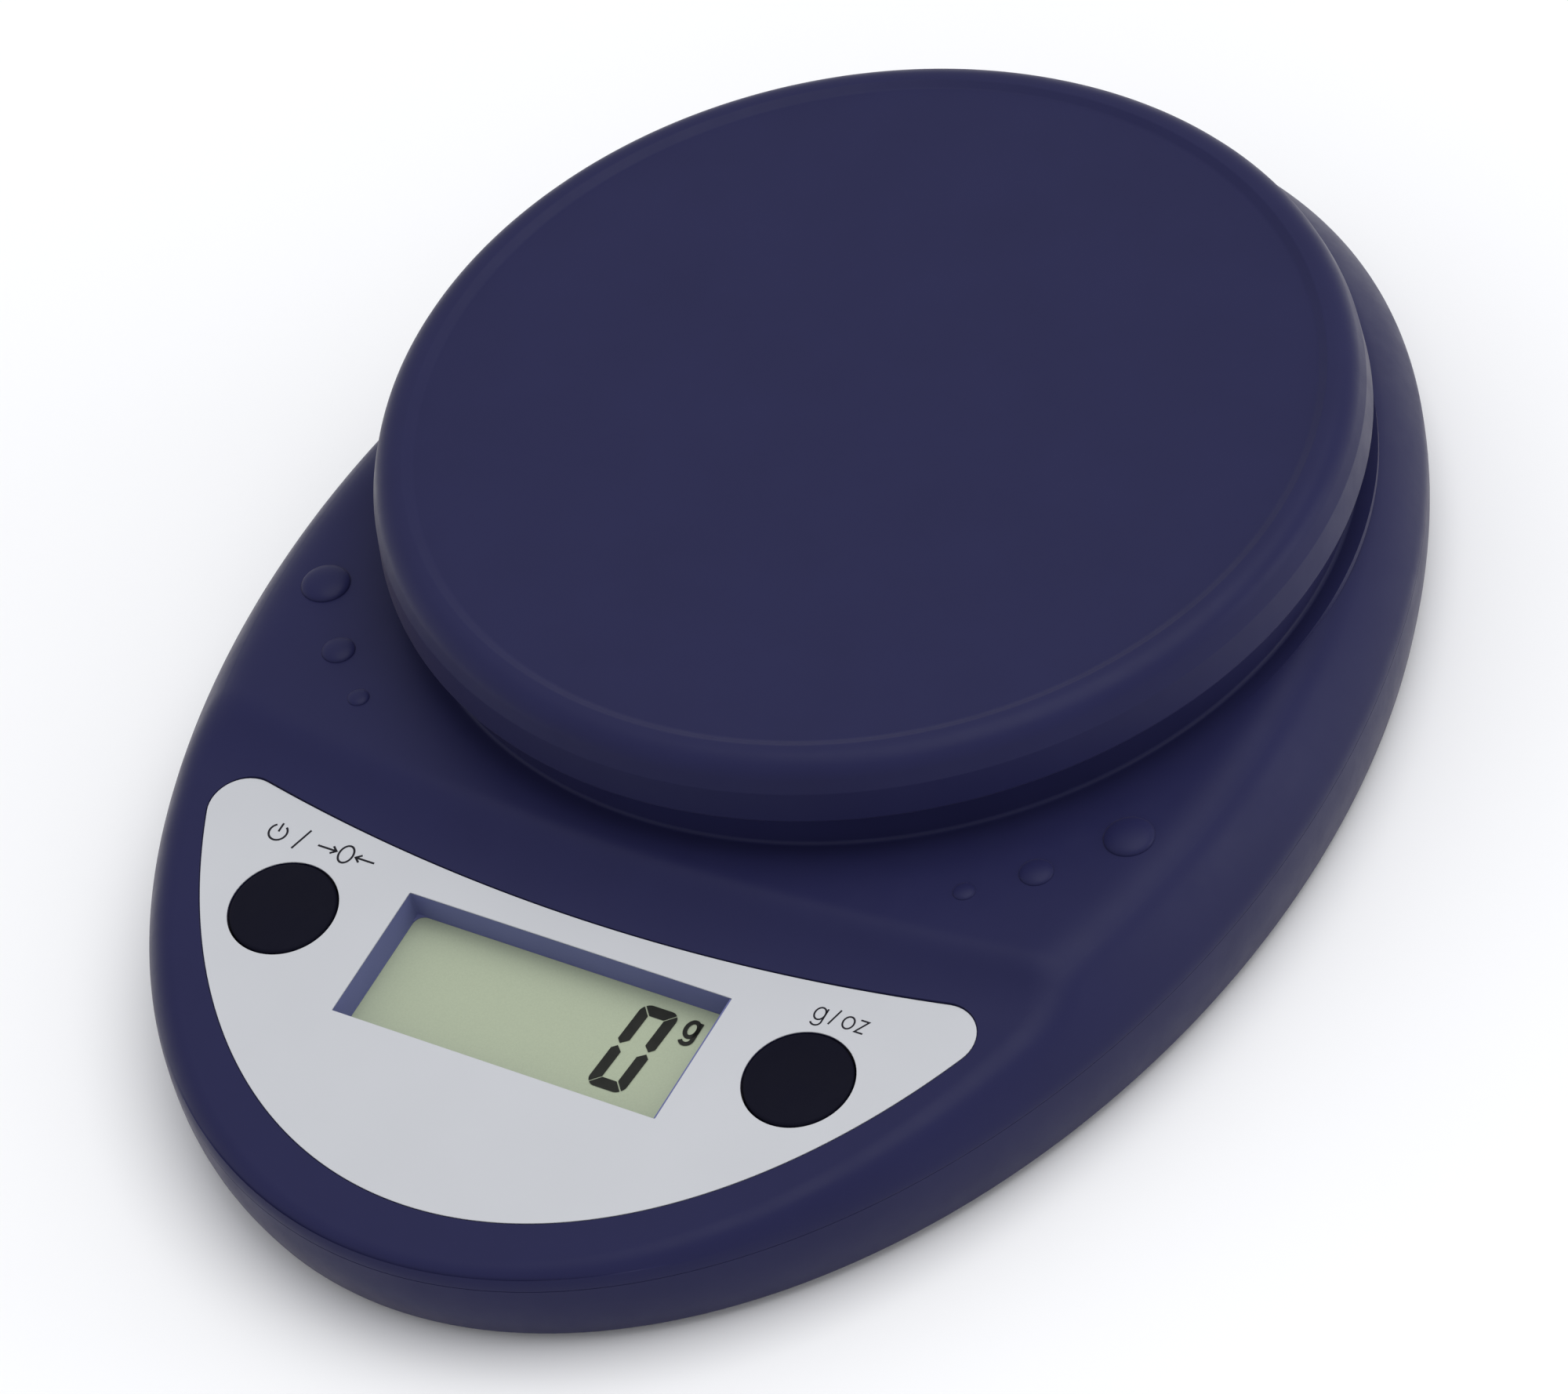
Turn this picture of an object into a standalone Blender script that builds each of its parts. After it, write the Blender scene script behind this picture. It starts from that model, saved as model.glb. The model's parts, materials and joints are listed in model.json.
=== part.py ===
"""A compact digital kitchen scale, front towards -Y, standing on z = 0.

The housing is an oval of two moulded shells. The upper shell has a flat deck with a round boss, and
a sloping console at the front that holds a half-moon label, an LCD window and two round buttons.
A round weighing platform covers the boss. It stands on a bending-beam load cell inside the housing.
The origin is at the centre of the whole outline, on the surface that the feet stand on.
"""

import math

import bmesh
import bpy
from mathutils import Matrix, Vector

MM = 0.001

# Housing. The outline is an ellipse whose depth is its width times BODY_STRETCH.
BODY_HALF_WIDTH = 76.2 * MM
BODY_HALF_DEPTH = 108.6 * MM
BODY_STRETCH = BODY_HALF_DEPTH / BODY_HALF_WIDTH
SOLE_Z = 1.3 * MM
SOLE_HALF_WIDTH = 74.4 * MM
SOLE_EDGE = 1.2 * MM
BELT_Z = 12.5 * MM
LOWER_TOP = 12.2 * MM
DECK_Z = 24.1 * MM
SHOULDER_RADIUS = 22.2 * MM
SHOULDER_START = 14.0
RIDGE_RADIUS = 2.0 * MM
WALL = 2.2 * MM
FLOOR = 2.0 * MM
GAP = 0.3 * MM
TONGUE_TOP = 14.2 * MM
TONGUE_RADIUS = 73.0 * MM
TONGUE_THICKNESS = 1.2 * MM
TONGUE_FRONT = -58.0 * MM
BODY_STEPS = 72

# Boss under the platform.
PLATFORM_Y = 27.1 * MM
BOSS_RADIUS = 63.9 * MM
BOSS_TOP = 33.2 * MM
BOSS_STEPS = 64

# Console plane, tilted down towards the front, and the step between it and the deck.
CONSOLE_TILT = math.radians(5.3)
CONSOLE_Y = -66.3 * MM
CONSOLE_Z = 18.6 * MM
STEP_Y = -43.0 * MM
STEP_RADIUS = 451.0 * MM
STEP_SLOPE = 1.4

# Label and window, in the console's own plane.
LABEL_THICKNESS = 0.6 * MM
LABEL_RECESS = 0.9 * MM
LABEL_HALF_WIDTH = 68.7 * MM
LABEL_HALF_DEPTH = 99.8 * MM
LABEL_TOP_Y = -52.1 * MM
LABEL_TOP_RADIUS = 276.0 * MM
LABEL_CORNER = 5.0 * MM
WINDOW_WIDTH = 49.0 * MM
WINDOW_DEPTH = 20.3 * MM
LCD_DROP = 4.6 * MM

# Circuit board, in the console's own plane, hung from two posts of the upper housing.
BOARD_TOP = -8.2 * MM
BOARD_THICKNESS = 1.2 * MM
BOARD_SCREW_X = 32.5 * MM
BOARD_SCREW_Y = 12.0 * MM

# Buttons, placed in the console's own plane.
BUTTON_X = 39.4 * MM
BUTTON_Y = 1.9 * MM
BUTTON_RADIUS = 7.25 * MM
BUTTON_HOLE = 7.55 * MM

# Weighing platform.
PLATFORM_TOP = 40.4 * MM
PLATFORM_RADIUS = 66.3 * MM
PLATFORM_LOWER_RADIUS = 66.8 * MM
PLATFORM_LOWER_Z = 31.2 * MM
PLATFORM_EDGE = 3.6 * MM
LIP_RADIUS = 61.4 * MM
LIP_HEIGHT = 0.6 * MM
PLATFORM_SKIN = 2.2 * MM

# Load cell and carrier.
CELL_LENGTH = 75.0 * MM
CELL_SIDE = 12.7 * MM
CELL_BOTTOM = 8.3 * MM
CARRIER_GAP = 0.8 * MM
CARRIER_TOP = 37.3 * MM
CARRIER_RADIUS = 45.0 * MM
CARRIER_THICKNESS = 2.4 * MM
NECK_WIDTH = 16.0 * MM
NECK_DEPTH = 17.0 * MM
SCREW_SPACING = 8.0 * MM

# Battery bay, for two AA cells side by side.
BAY_X = 28.0 * MM
BAY_Y = 20.0 * MM
BAY_WIDTH = 31.0 * MM
BAY_LENGTH = 56.0 * MM
BAY_ROOF = 18.6 * MM
BAY_WALL = 2.8 * MM
AA_RADIUS = 7.1 * MM
AA_LENGTH = 50.5 * MM
AA_SPACING = 15.2 * MM
AA_Z = 10.9 * MM
DOOR_BOTTOM = 1.4 * MM
DOOR_THICKNESS = 1.6 * MM
DOOR_CLEARANCE = 0.4 * MM
HINGE_Y = 46.3 * MM
HINGE_Z = 2.9 * MM
HINGE_RADIUS = 1.2 * MM
HINGE_REACH = 1.5 * MM

# Feet and housing screws: (x, y) on the right-hand side, each repeated on the left.
FOOT_PLACES = {"rear": (54.0 * MM, 52.0 * MM), "front": (42.0 * MM, -66.0 * MM)}
FOOT_RADIUS = 6.0 * MM
FOOT_SEAT = 0.9 * MM
SCREW_PLACES = {
    "rear": (42.0 * MM, 68.0 * MM),
    "middle": (56.0 * MM, -26.0 * MM),
    "front": (20.0 * MM, -91.0 * MM),
}
POST_RADIUS = 3.5 * MM
POST_BOTTOM = 5.2 * MM
PILOT_TOP = 12.8 * MM

# Raised dots on the deck: (angle from the front, dot radius), on a circle round the platform.
DOT_CIRCLE = 75.3 * MM
DOTS = ((38.1, 1.45 * MM), (45.4, 2.25 * MM), (55.2, 3.35 * MM))

SIDES = {"left": -1, "right": 1}


def clear_scene():
    for item in list(bpy.data.objects):
        bpy.data.objects.remove(item, do_unlink=True)


def new_collection(name):
    collection = bpy.data.collections.new(name)
    bpy.context.scene.collection.children.link(collection)
    return collection


clear_scene()
PARTS = new_collection("kitchen_scale")
CUTTERS = new_collection("cutters")


def new_material(name, colour, roughness, metallic=0.0):
    material = bpy.data.materials.new(name)
    material.use_nodes = True
    shader = material.node_tree.nodes["Principled BSDF"]
    shader.inputs["Base Color"].default_value = (*colour, 1.0)
    shader.inputs["Roughness"].default_value = roughness
    shader.inputs["Metallic"].default_value = metallic
    material.diffuse_color = (*colour, 1.0)
    return material


NAVY = new_material("navy_plastic", (0.026, 0.025, 0.078), 0.45)
SILVER = new_material("silver_label", (0.56, 0.57, 0.60), 0.4)
BUTTON_BLACK = new_material("button_black", (0.008, 0.009, 0.022), 0.5)
LCD_GREEN = new_material("lcd_green", (0.39, 0.46, 0.31), 0.3)
BOARD_GREEN = new_material("board_green", (0.02, 0.12, 0.05), 0.5)
CHIP_BLACK = new_material("chip_black", (0.02, 0.02, 0.02), 0.4)
STEEL = new_material("steel", (0.6, 0.6, 0.6), 0.3, 1.0)
ALUMINIUM = new_material("aluminium", (0.75, 0.76, 0.77), 0.35, 1.0)
SILICONE = new_material("white_silicone", (0.8, 0.8, 0.78), 0.6)
RUBBER = new_material("grey_rubber", (0.06, 0.06, 0.065), 0.8)
CARRIER_GREY = new_material("carrier_grey", (0.25, 0.26, 0.28), 0.5)
CELL_JACKET = new_material("battery_jacket", (0.1, 0.11, 0.13), 0.35)
RED_LEAD = new_material("red_lead", (0.5, 0.02, 0.02), 0.5)
BLACK_LEAD = new_material("black_lead", (0.02, 0.02, 0.02), 0.5)
GREY_LEAD = new_material("grey_lead", (0.3, 0.3, 0.32), 0.5)


def add_object(name, mesh, material, collection=None):
    item = bpy.data.objects.new(name, mesh)
    (collection or PARTS).objects.link(item)
    if material:
        mesh.materials.append(material)
    return item


def as_cutter(item):
    """Marks a helper, so that it is drawn as wire and isn't a part."""
    item.hide_render = True
    item.display_type = "WIRE"
    return item


def smooth(item, angle=35.0):
    item.data.shade_smooth()
    item.data.set_sharp_from_angle(angle=math.radians(angle))


def plain_mesh(item):
    """The item's shape after its modifiers, as a new mesh in the item's own space, with loose caps welded."""
    graph = bpy.context.evaluated_depsgraph_get()
    mesh = bpy.data.meshes.new_from_object(item.evaluated_get(graph))
    work = bmesh.new()
    work.from_mesh(mesh)
    bmesh.ops.remove_doubles(work, verts=work.verts, dist=0.002 * MM)
    bmesh.ops.recalc_face_normals(work, faces=work.faces)
    work.to_mesh(mesh)
    work.free()
    return mesh


def frozen(item, stretch=1.0):
    """Replaces an item by its evaluated mesh, made longer along Y by stretch."""
    mesh = plain_mesh(item)
    name = item.name
    collection = item.users_collection[0]
    material = item.data.materials[0] if item.data.materials else None
    matrix = item.matrix_world.copy()
    bpy.data.objects.remove(item, do_unlink=True)
    mesh.transform(Matrix.Diagonal((1.0, stretch, 1.0, 1.0)))
    mesh.materials.clear()
    made = add_object(name, mesh, material, collection)
    made.matrix_world = matrix
    return made


def turned(name, profile, steps, material, collection=None, stretch=1.0):
    """A solid turned about its own Z axis from (radius, height) points that start and end on the axis."""
    mesh = bpy.data.meshes.new(name)
    points = [(radius, 0.0, height) for radius, height in profile]
    edges = [(index, index + 1) for index in range(len(points) - 1)]
    mesh.from_pydata(points, edges, [])
    item = add_object(name, mesh, material, collection)
    screw = item.modifiers.new("Turn", "SCREW")
    screw.axis = "Z"
    screw.steps = steps
    screw.render_steps = steps
    screw.use_merge_vertices = True
    screw.merge_threshold = 0.005 * MM
    bpy.context.view_layer.update()
    return frozen(item, stretch)


def arc_points(centre, radius, first, last, count):
    """Points on a circle from angle first to angle last, in degrees, both ends included."""
    points = []
    for index in range(count + 1):
        angle = math.radians(first + (last - first) * index / count)
        points.append((centre[0] + radius * math.cos(angle), centre[1] + radius * math.sin(angle)))
    return points


def box(name, size, centre, material=None, collection=None, parent=None, bevel=0.0):
    mesh = bpy.data.meshes.new(name)
    work = bmesh.new()
    bmesh.ops.create_cube(work, size=1.0)
    bmesh.ops.scale(work, vec=size, verts=work.verts)
    work.to_mesh(mesh)
    work.free()
    item = add_object(name, mesh, material, collection)
    item.parent = parent
    item.location = centre
    if bevel:
        rounding = item.modifiers.new("Rounded edges", "BEVEL")
        rounding.width = bevel
        rounding.segments = 2
    return item


def cylinder(name, radius, bottom, top, place, steps=24, material=None, collection=None, parent=None):
    """An upright cylinder between two heights, at an (x, y) place."""
    mesh = bpy.data.meshes.new(name)
    work = bmesh.new()
    bmesh.ops.create_cone(
        work, cap_ends=True, segments=steps, radius1=radius, radius2=radius, depth=top - bottom
    )
    work.to_mesh(mesh)
    work.free()
    item = add_object(name, mesh, material, collection)
    item.parent = parent
    item.location = (place[0], place[1], (top + bottom) / 2)
    if material:
        smooth(item)
    return item


def cut_box(name, size, centre, parent=None):
    return as_cutter(box(name, size, centre, collection=CUTTERS, parent=parent))


def cut_cylinder(name, radius, bottom, top, place, steps=24, parent=None):
    return as_cutter(cylinder(name, radius, bottom, top, place, steps, None, CUTTERS, parent))


def combine(item, other, operation):
    boolean = item.modifiers.new(f"{operation.lower()} {other.name}", "BOOLEAN")
    boolean.operation = operation
    boolean.solver = "EXACT"
    boolean.object = other


def cut(item, *others):
    for other in others:
        combine(item, other, "DIFFERENCE")


def join(item, *others):
    for other in others:
        combine(item, other, "UNION")


def console_frame():
    """An empty on the console's surface: its Z axis is square to the surface, its Y axis runs to the rear."""
    frame = bpy.data.objects.new("console_frame", None)
    PARTS.objects.link(frame)
    frame.location = (0.0, CONSOLE_Y, CONSOLE_Z)
    frame.rotation_euler = (CONSOLE_TILT, 0.0, 0.0)
    return frame


CONSOLE = console_frame()
bpy.context.view_layer.update()


def shoulder_profile(inset):
    """The wall above the belt, from the deck down to the belt, set in by a wall thickness."""
    start = math.radians(SHOULDER_START)
    centre = (
        BODY_HALF_WIDTH - SHOULDER_RADIUS * math.cos(start),
        BELT_Z - SHOULDER_RADIUS * math.sin(start),
    )
    if inset:
        radius = SHOULDER_RADIUS - inset
        last = math.degrees(math.asin((DECK_Z - inset - centre[1]) / radius))
        rising = arc_points(centre, radius, SHOULDER_START, last, 5)
    else:
        reach = SHOULDER_RADIUS - RIDGE_RADIUS
        last = math.asin((DECK_Z - RIDGE_RADIUS - centre[1]) / reach)
        ridge = (centre[0] + reach * math.cos(last), DECK_Z - RIDGE_RADIUS)
        rising = arc_points(centre, SHOULDER_RADIUS, SHOULDER_START, math.degrees(last), 5)
        rising += arc_points(ridge, RIDGE_RADIUS, math.degrees(last), 90.0, 3)[1:]
    return list(reversed(rising))


def oval_top(name, inset, bottom):
    """The solid oval above the belt, with its flat deck. inset makes the inner hollow of the shell."""
    wall = shoulder_profile(inset)
    profile = [(0.0, wall[0][1])] + wall
    if bottom < wall[-1][1]:
        profile.append((wall[-1][0], bottom))
    profile.append((0.0, profile[-1][1]))
    return turned(name, profile, BODY_STEPS, None, CUTTERS, BODY_STRETCH)


def console_cutter(name, drop, set_back):
    """The space above the console: in front of the step, and above the console's plane less drop."""
    depth = 80.0 * MM
    height = 40.0 * MM
    block = box(
        name,
        (200.0 * MM, depth + 60.0 * MM, height),
        (0.0, (60.0 * MM - depth) / 2, height / 2 - drop),
        collection=CUTTERS,
        parent=CONSOLE,
    )
    low = 5.0 * MM
    high = 60.0 * MM
    level = STEP_RADIUS - set_back
    mesh = bpy.data.meshes.new(name + "_step")
    work = bmesh.new()
    bmesh.ops.create_cone(
        work,
        cap_ends=True,
        segments=384,
        radius1=level + (DECK_Z - low) * STEP_SLOPE,
        radius2=level + (DECK_Z - high) * STEP_SLOPE,
        depth=high - low,
    )
    work.to_mesh(mesh)
    work.free()
    step = as_cutter(add_object(name + "_step", mesh, None, CUTTERS))
    step.location = (0.0, STEP_Y + STEP_RADIUS, (low + high) / 2)
    cut(block, step)
    return as_cutter(block)


def label_outline(grow):
    """The half-moon outline in the console's plane: an oval at the front, a shallow arc at the rear."""
    half_width = LABEL_HALF_WIDTH + grow
    half_depth = LABEL_HALF_DEPTH + grow
    centre = Vector((0.0, LABEL_TOP_Y + grow + LABEL_TOP_RADIUS))
    corner = LABEL_CORNER + grow

    def oval(angle, inset=0.0):
        point = Vector((half_width * math.cos(angle), half_depth * math.sin(angle)))
        normal = Vector((half_depth * math.cos(angle), half_width * math.sin(angle))).normalized()
        return point - normal * inset, normal

    low = math.radians(-80.0)
    high = math.radians(-5.0)
    for _ in range(60):
        middle = (low + high) / 2
        spot, _normal = oval(middle, corner)
        if (spot - centre).length > LABEL_TOP_RADIUS + corner:
            low = middle
        else:
            high = middle
    spot, normal = oval(middle, corner)
    right = []
    for index in range(19):
        right.append(oval(math.radians(-90.0) + (middle + math.radians(90.0)) * index / 18)[0])
    start = math.atan2(normal.y, normal.x)
    towards = centre - spot
    end = math.atan2(towards.y, towards.x)
    for index in range(1, 7):
        angle = start + (end - start) * index / 6
        right.append(spot + Vector((math.cos(angle), math.sin(angle))) * corner)
    sweep = math.atan2(right[-1].x, centre.y - right[-1].y)
    for index in range(1, 9):
        angle = sweep * (1 - index / 8)
        right.append(centre + Vector((math.sin(angle), -math.cos(angle))) * LABEL_TOP_RADIUS)
    left = [Vector((-point.x, point.y)) for point in reversed(right[1:-1])]
    shrink = 1.0 / math.cos(CONSOLE_TILT)
    return [(point.x, (point.y - CONSOLE_Y) * shrink) for point in right + left]


def flat_outline(name, outlines, thickness, height, material, collection=None):
    """A flat plate from closed outlines in the console's plane. Inner outlines are holes."""
    curve = bpy.data.curves.new(name, "CURVE")
    curve.dimensions = "2D"
    curve.fill_mode = "BOTH"
    curve.extrude = thickness / 2
    for outline in outlines:
        spline = curve.splines.new("POLY")
        spline.points.add(len(outline) - 1)
        for point, (x, y) in zip(spline.points, outline):
            point.co = (x, y, 0.0, 1.0)
        spline.use_cyclic_u = True
    item = bpy.data.objects.new(name, curve)
    (collection or PARTS).objects.link(item)
    if material:
        curve.materials.append(material)
    item.parent = CONSOLE
    item.location = (0.0, 0.0, height)
    return item


def round_outline(x, y, radius, count=32):
    return [
        (x + radius * math.cos(2 * math.pi * i / count), y + radius * math.sin(2 * math.pi * i / count))
        for i in range(count)
    ]


def window_outline(width, depth):
    return [
        (width / 2, depth / 2),
        (-width / 2, depth / 2),
        (-width / 2, -depth / 2),
        (width / 2, -depth / 2),
    ]


def face_label():
    outlines = [label_outline(0.0), window_outline(WINDOW_WIDTH, WINDOW_DEPTH)]
    for side in SIDES.values():
        outlines.append(round_outline(side * BUTTON_X, BUTTON_Y, BUTTON_HOLE))
    flat_outline("face_label", outlines, LABEL_THICKNESS, -LABEL_THICKNESS / 2, SILVER)


def label_recess():
    curve = flat_outline(
        "label_recess_outline", [label_outline(GAP)], 2 * LABEL_RECESS, 0.0, None, CUTTERS
    )
    bpy.context.view_layer.update()
    mesh = plain_mesh(curve)
    matrix = curve.matrix_world.copy()
    bpy.data.objects.remove(curve, do_unlink=True)
    recess = as_cutter(add_object("label_recess", mesh, None, CUTTERS))
    recess.matrix_world = matrix
    return recess


def deck_dots():
    """Six low domes in two rows that shrink towards the front."""
    dots = []
    for side_name, side in SIDES.items():
        for index, (angle, radius) in enumerate(DOTS):
            turn = math.radians(angle)
            mesh = bpy.data.meshes.new("dot")
            work = bmesh.new()
            bmesh.ops.create_uvsphere(work, u_segments=16, v_segments=8, radius=radius)
            bmesh.ops.scale(work, vec=(1.0, 1.0, 0.5), verts=work.verts)
            work.to_mesh(mesh)
            work.free()
            dot = as_cutter(add_object(f"dot_{side_name}_{index}", mesh, None, CUTTERS))
            dot.location = (
                side * DOT_CIRCLE * math.sin(turn),
                PLATFORM_Y - DOT_CIRCLE * math.cos(turn),
                DECK_Z - 0.05 * MM,
            )
            dots.append(dot)
    return dots


def console_depth(y):
    """How high the console's surface is at a place along Y."""
    return CONSOLE_Z + (y - CONSOLE_Y) * math.tan(CONSOLE_TILT)


def upper_housing():
    shell = oval_top("upper_housing", 0.0, BELT_Z)
    CUTTERS.objects.unlink(shell)
    PARTS.objects.link(shell)
    shell.data.materials.append(NAVY)
    cut(shell, console_cutter("console_space", 0.0, 0.0))
    centre = (0.0, PLATFORM_Y)
    join(shell, cut_cylinder("boss", BOSS_RADIUS, DECK_Z - 1.5 * MM, BOSS_TOP, centre, BOSS_STEPS))
    hollow = as_cutter(oval_top("shell_hollow", WALL, BELT_Z - 1.0 * MM))
    cut(hollow, console_cutter("console_skin", WALL + 0.4 * MM, WALL))
    cut(shell, hollow)
    inside = BOSS_RADIUS - WALL
    low = DECK_Z - WALL - 1.0 * MM
    cut(shell, cut_cylinder("boss_hollow", inside, low, BOSS_TOP - WALL, centre, BOSS_STEPS))
    opening = (NECK_WIDTH + 4.0 * MM, NECK_DEPTH + 4.0 * MM, 8.0 * MM)
    cut(shell, cut_box("neck_opening", opening, (0.0, neck_y(), BOSS_TOP)))
    collar = (WINDOW_WIDTH + 4.0 * MM, WINDOW_DEPTH + 4.0 * MM, 3.1 * MM)
    collar_top = -1.2 * MM
    join(shell, cut_box("window_collar", collar, (0.0, 0.0, collar_top - collar[2] / 2), CONSOLE))
    for side_name, side in SIDES.items():
        for place_name, (x, y) in SCREW_PLACES.items():
            skin = DECK_Z if place_name != "front" else console_depth(y)
            name = f"{side_name}_{place_name}"
            post = cut_cylinder("post_" + name, POST_RADIUS, POST_BOTTOM, skin - 1.2 * MM, (side * x, y), 16)
            join(shell, post)
            pilot = cut_cylinder("pilot_" + name, 1.5 * MM, 4.0 * MM, PILOT_TOP, (side * x, y), 12)
            cut(shell, pilot)
        board_post = (side * BOARD_SCREW_X, BOARD_SCREW_Y)
        join(shell, cut_cylinder(f"board_post_{side_name}", 2.3 * MM, BOARD_TOP + GAP, -1.4 * MM,
                                 board_post, 12, CONSOLE))
        cut(shell, cut_cylinder(f"board_pilot_{side_name}", 1.05 * MM, BOARD_TOP, -3.4 * MM,
                                board_post, 8, CONSOLE))
        cut(shell, cut_cylinder(f"button_hole_{side_name}", BUTTON_HOLE, -8.0 * MM, 3.0 * MM,
                                (side * BUTTON_X, BUTTON_Y), 32, CONSOLE))
    cut(shell, label_recess())
    window = (WINDOW_WIDTH, WINDOW_DEPTH, 12.0 * MM)
    cut(shell, cut_box("window_hole", window, (0.0, 0.0, 0.0), CONSOLE))
    for dot in deck_dots():
        join(shell, dot)
    smooth(shell)


def neck_y():
    """The middle of the load cell's free end, which carries the platform."""
    return PLATFORM_Y - CELL_LENGTH / 2 + NECK_DEPTH / 2


def anchor_y():
    """The middle of the load cell's fixed end, which is screwed to the lower housing."""
    return PLATFORM_Y + CELL_LENGTH / 2 - NECK_DEPTH / 2


def screw_pair(middle):
    return (middle - SCREW_SPACING / 2, middle + SCREW_SPACING / 2)


def lower_housing():
    floor = SOLE_Z + FLOOR
    inner = TONGUE_RADIUS - TONGUE_THICKNESS
    profile = [
        (0.0, floor),
        (SOLE_HALF_WIDTH - 3.4 * MM, floor),
        (inner, LOWER_TOP),
        (inner, TONGUE_TOP),
        (TONGUE_RADIUS, TONGUE_TOP),
        (TONGUE_RADIUS, LOWER_TOP),
        (BODY_HALF_WIDTH, LOWER_TOP),
        (SOLE_HALF_WIDTH + 0.15 * MM, SOLE_Z + SOLE_EDGE),
        (SOLE_HALF_WIDTH - 0.35 * MM, SOLE_Z + 0.35 * MM),
        (SOLE_HALF_WIDTH - SOLE_EDGE, SOLE_Z),
        (0.0, SOLE_Z),
    ]
    shell = turned("lower_housing", profile, BODY_STEPS, NAVY, None, BODY_STRETCH)
    front = 60.0 * MM
    low = LOWER_TOP + 0.05 * MM
    clearance = (200.0 * MM, front, 10.0 * MM)
    cut(shell, cut_box("tongue_clearance", clearance, (0.0, TONGUE_FRONT - front / 2, low + 5.0 * MM)))
    bay = (BAY_WIDTH + 2 * BAY_WALL, BAY_LENGTH + 2 * BAY_WALL, BAY_ROOF + BAY_WALL - 1.5 * MM)
    join(shell, cut_box("bay_walls", bay, (BAY_X, BAY_Y, 1.5 * MM + bay[2] / 2)))
    pedestal = (18.0 * MM, 19.0 * MM, CELL_BOTTOM - GAP - 1.5 * MM)
    join(shell, cut_box("pedestal", pedestal, (0.0, anchor_y(), 1.5 * MM + pedestal[2] / 2)))
    join(shell, cut_cylinder("overload_stop", 4.0 * MM, 1.5 * MM, 7.6 * MM, (0.0, neck_y() - 3.0 * MM), 16))
    for side_name, side in SIDES.items():
        for place_name, (x, y) in SCREW_PLACES.items():
            name = f"{side_name}_{place_name}"
            join(shell, cut_cylinder("seat_" + name, 5.0 * MM, 1.6 * MM, 4.9 * MM, (side * x, y), 20))
            cut(shell, cut_cylinder("head_hole_" + name, 3.1 * MM, 0.5 * MM, 3.6 * MM, (side * x, y), 16))
            cut(shell, cut_cylinder("shank_hole_" + name, 1.7 * MM, 3.0 * MM, 6.0 * MM, (side * x, y), 12))
        for place_name, (x, y) in FOOT_PLACES.items():
            name = f"foot_seat_{side_name}_{place_name}"
            top = SOLE_Z + FOOT_SEAT
            cut(shell, cut_cylinder(name, FOOT_RADIUS + GAP, 0.0, top, (side * x, y), 24))
    for index, y in enumerate(screw_pair(anchor_y())):
        cut(shell, cut_cylinder(f"anchor_head_{index}", 3.6 * MM, 0.5 * MM, 4.2 * MM, (0.0, y), 16))
        cut(shell, cut_cylinder(f"anchor_shank_{index}", 2.2 * MM, 3.5 * MM, 9.0 * MM, (0.0, y), 16))
    hollow = (BAY_WIDTH, BAY_LENGTH, BAY_ROOF)
    cut(shell, cut_box("bay_hollow", hollow, (BAY_X, BAY_Y, BAY_ROOF / 2)))
    pins = cut_rod("hinge_sockets", HINGE_RADIUS + GAP, BAY_WIDTH + 2 * HINGE_REACH + 0.6 * MM)
    cut(shell, pins)
    for place in (-1, 1):
        x = BAY_X + place * AA_SPACING / 2
        slot = (3.2 * MM, 6.0 * MM, 1.2 * MM)
        cut(shell, cut_box(f"tab_slot_{place + 1}", slot, (x, BAY_Y - BAY_LENGTH / 2 - 1.5 * MM, AA_Z)))
    thumb = cut_cylinder("thumb_notch", 7.0 * MM, 0.0, 2.4 * MM, (BAY_X, BAY_Y - BAY_LENGTH / 2), 24)
    cut(shell, thumb)
    smooth(shell)


def cut_rod(name, radius, length):
    """A cylinder along X on the battery door's hinge axis."""
    rod = cut_cylinder(name, radius, 0.0, length, (0.0, 0.0), 16)
    rod.rotation_euler = (0.0, math.radians(90.0), 0.0)
    rod.location = (BAY_X, HINGE_Y, HINGE_Z)
    return rod


def battery_door():
    """The lid of the battery bay. Its origin is on the axis of the two pins at its rear end."""
    front = BAY_Y - BAY_LENGTH / 2 + DOOR_CLEARANCE
    size = (BAY_WIDTH - 2 * DOOR_CLEARANCE, HINGE_Y - front, DOOR_THICKNESS)
    centre = (BAY_X, (HINGE_Y + front) / 2, DOOR_BOTTOM + DOOR_THICKNESS / 2)
    door = box("battery_door", size, centre, NAVY)
    door.data.transform(Matrix.Translation((0.0, centre[1] - HINGE_Y, centre[2] - HINGE_Z)))
    door.location = (BAY_X, HINGE_Y, HINGE_Z)
    join(door, cut_rod("door_pins", HINGE_RADIUS, BAY_WIDTH + 2 * HINGE_REACH))
    latch = (9.0 * MM, 1.2 * MM, 4.5 * MM)
    join(door, cut_box("door_latch", latch, (BAY_X, front + 1.4 * MM, DOOR_BOTTOM + 0.4 * MM + latch[2] / 2)))
    for index in range(4):
        y = front + (4.0 + 2.0 * index) * MM
        cut(door, cut_box(f"grip_groove_{index}", (12.0 * MM, 0.9 * MM, 0.8 * MM), (BAY_X, y, DOOR_BOTTOM)))


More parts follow.
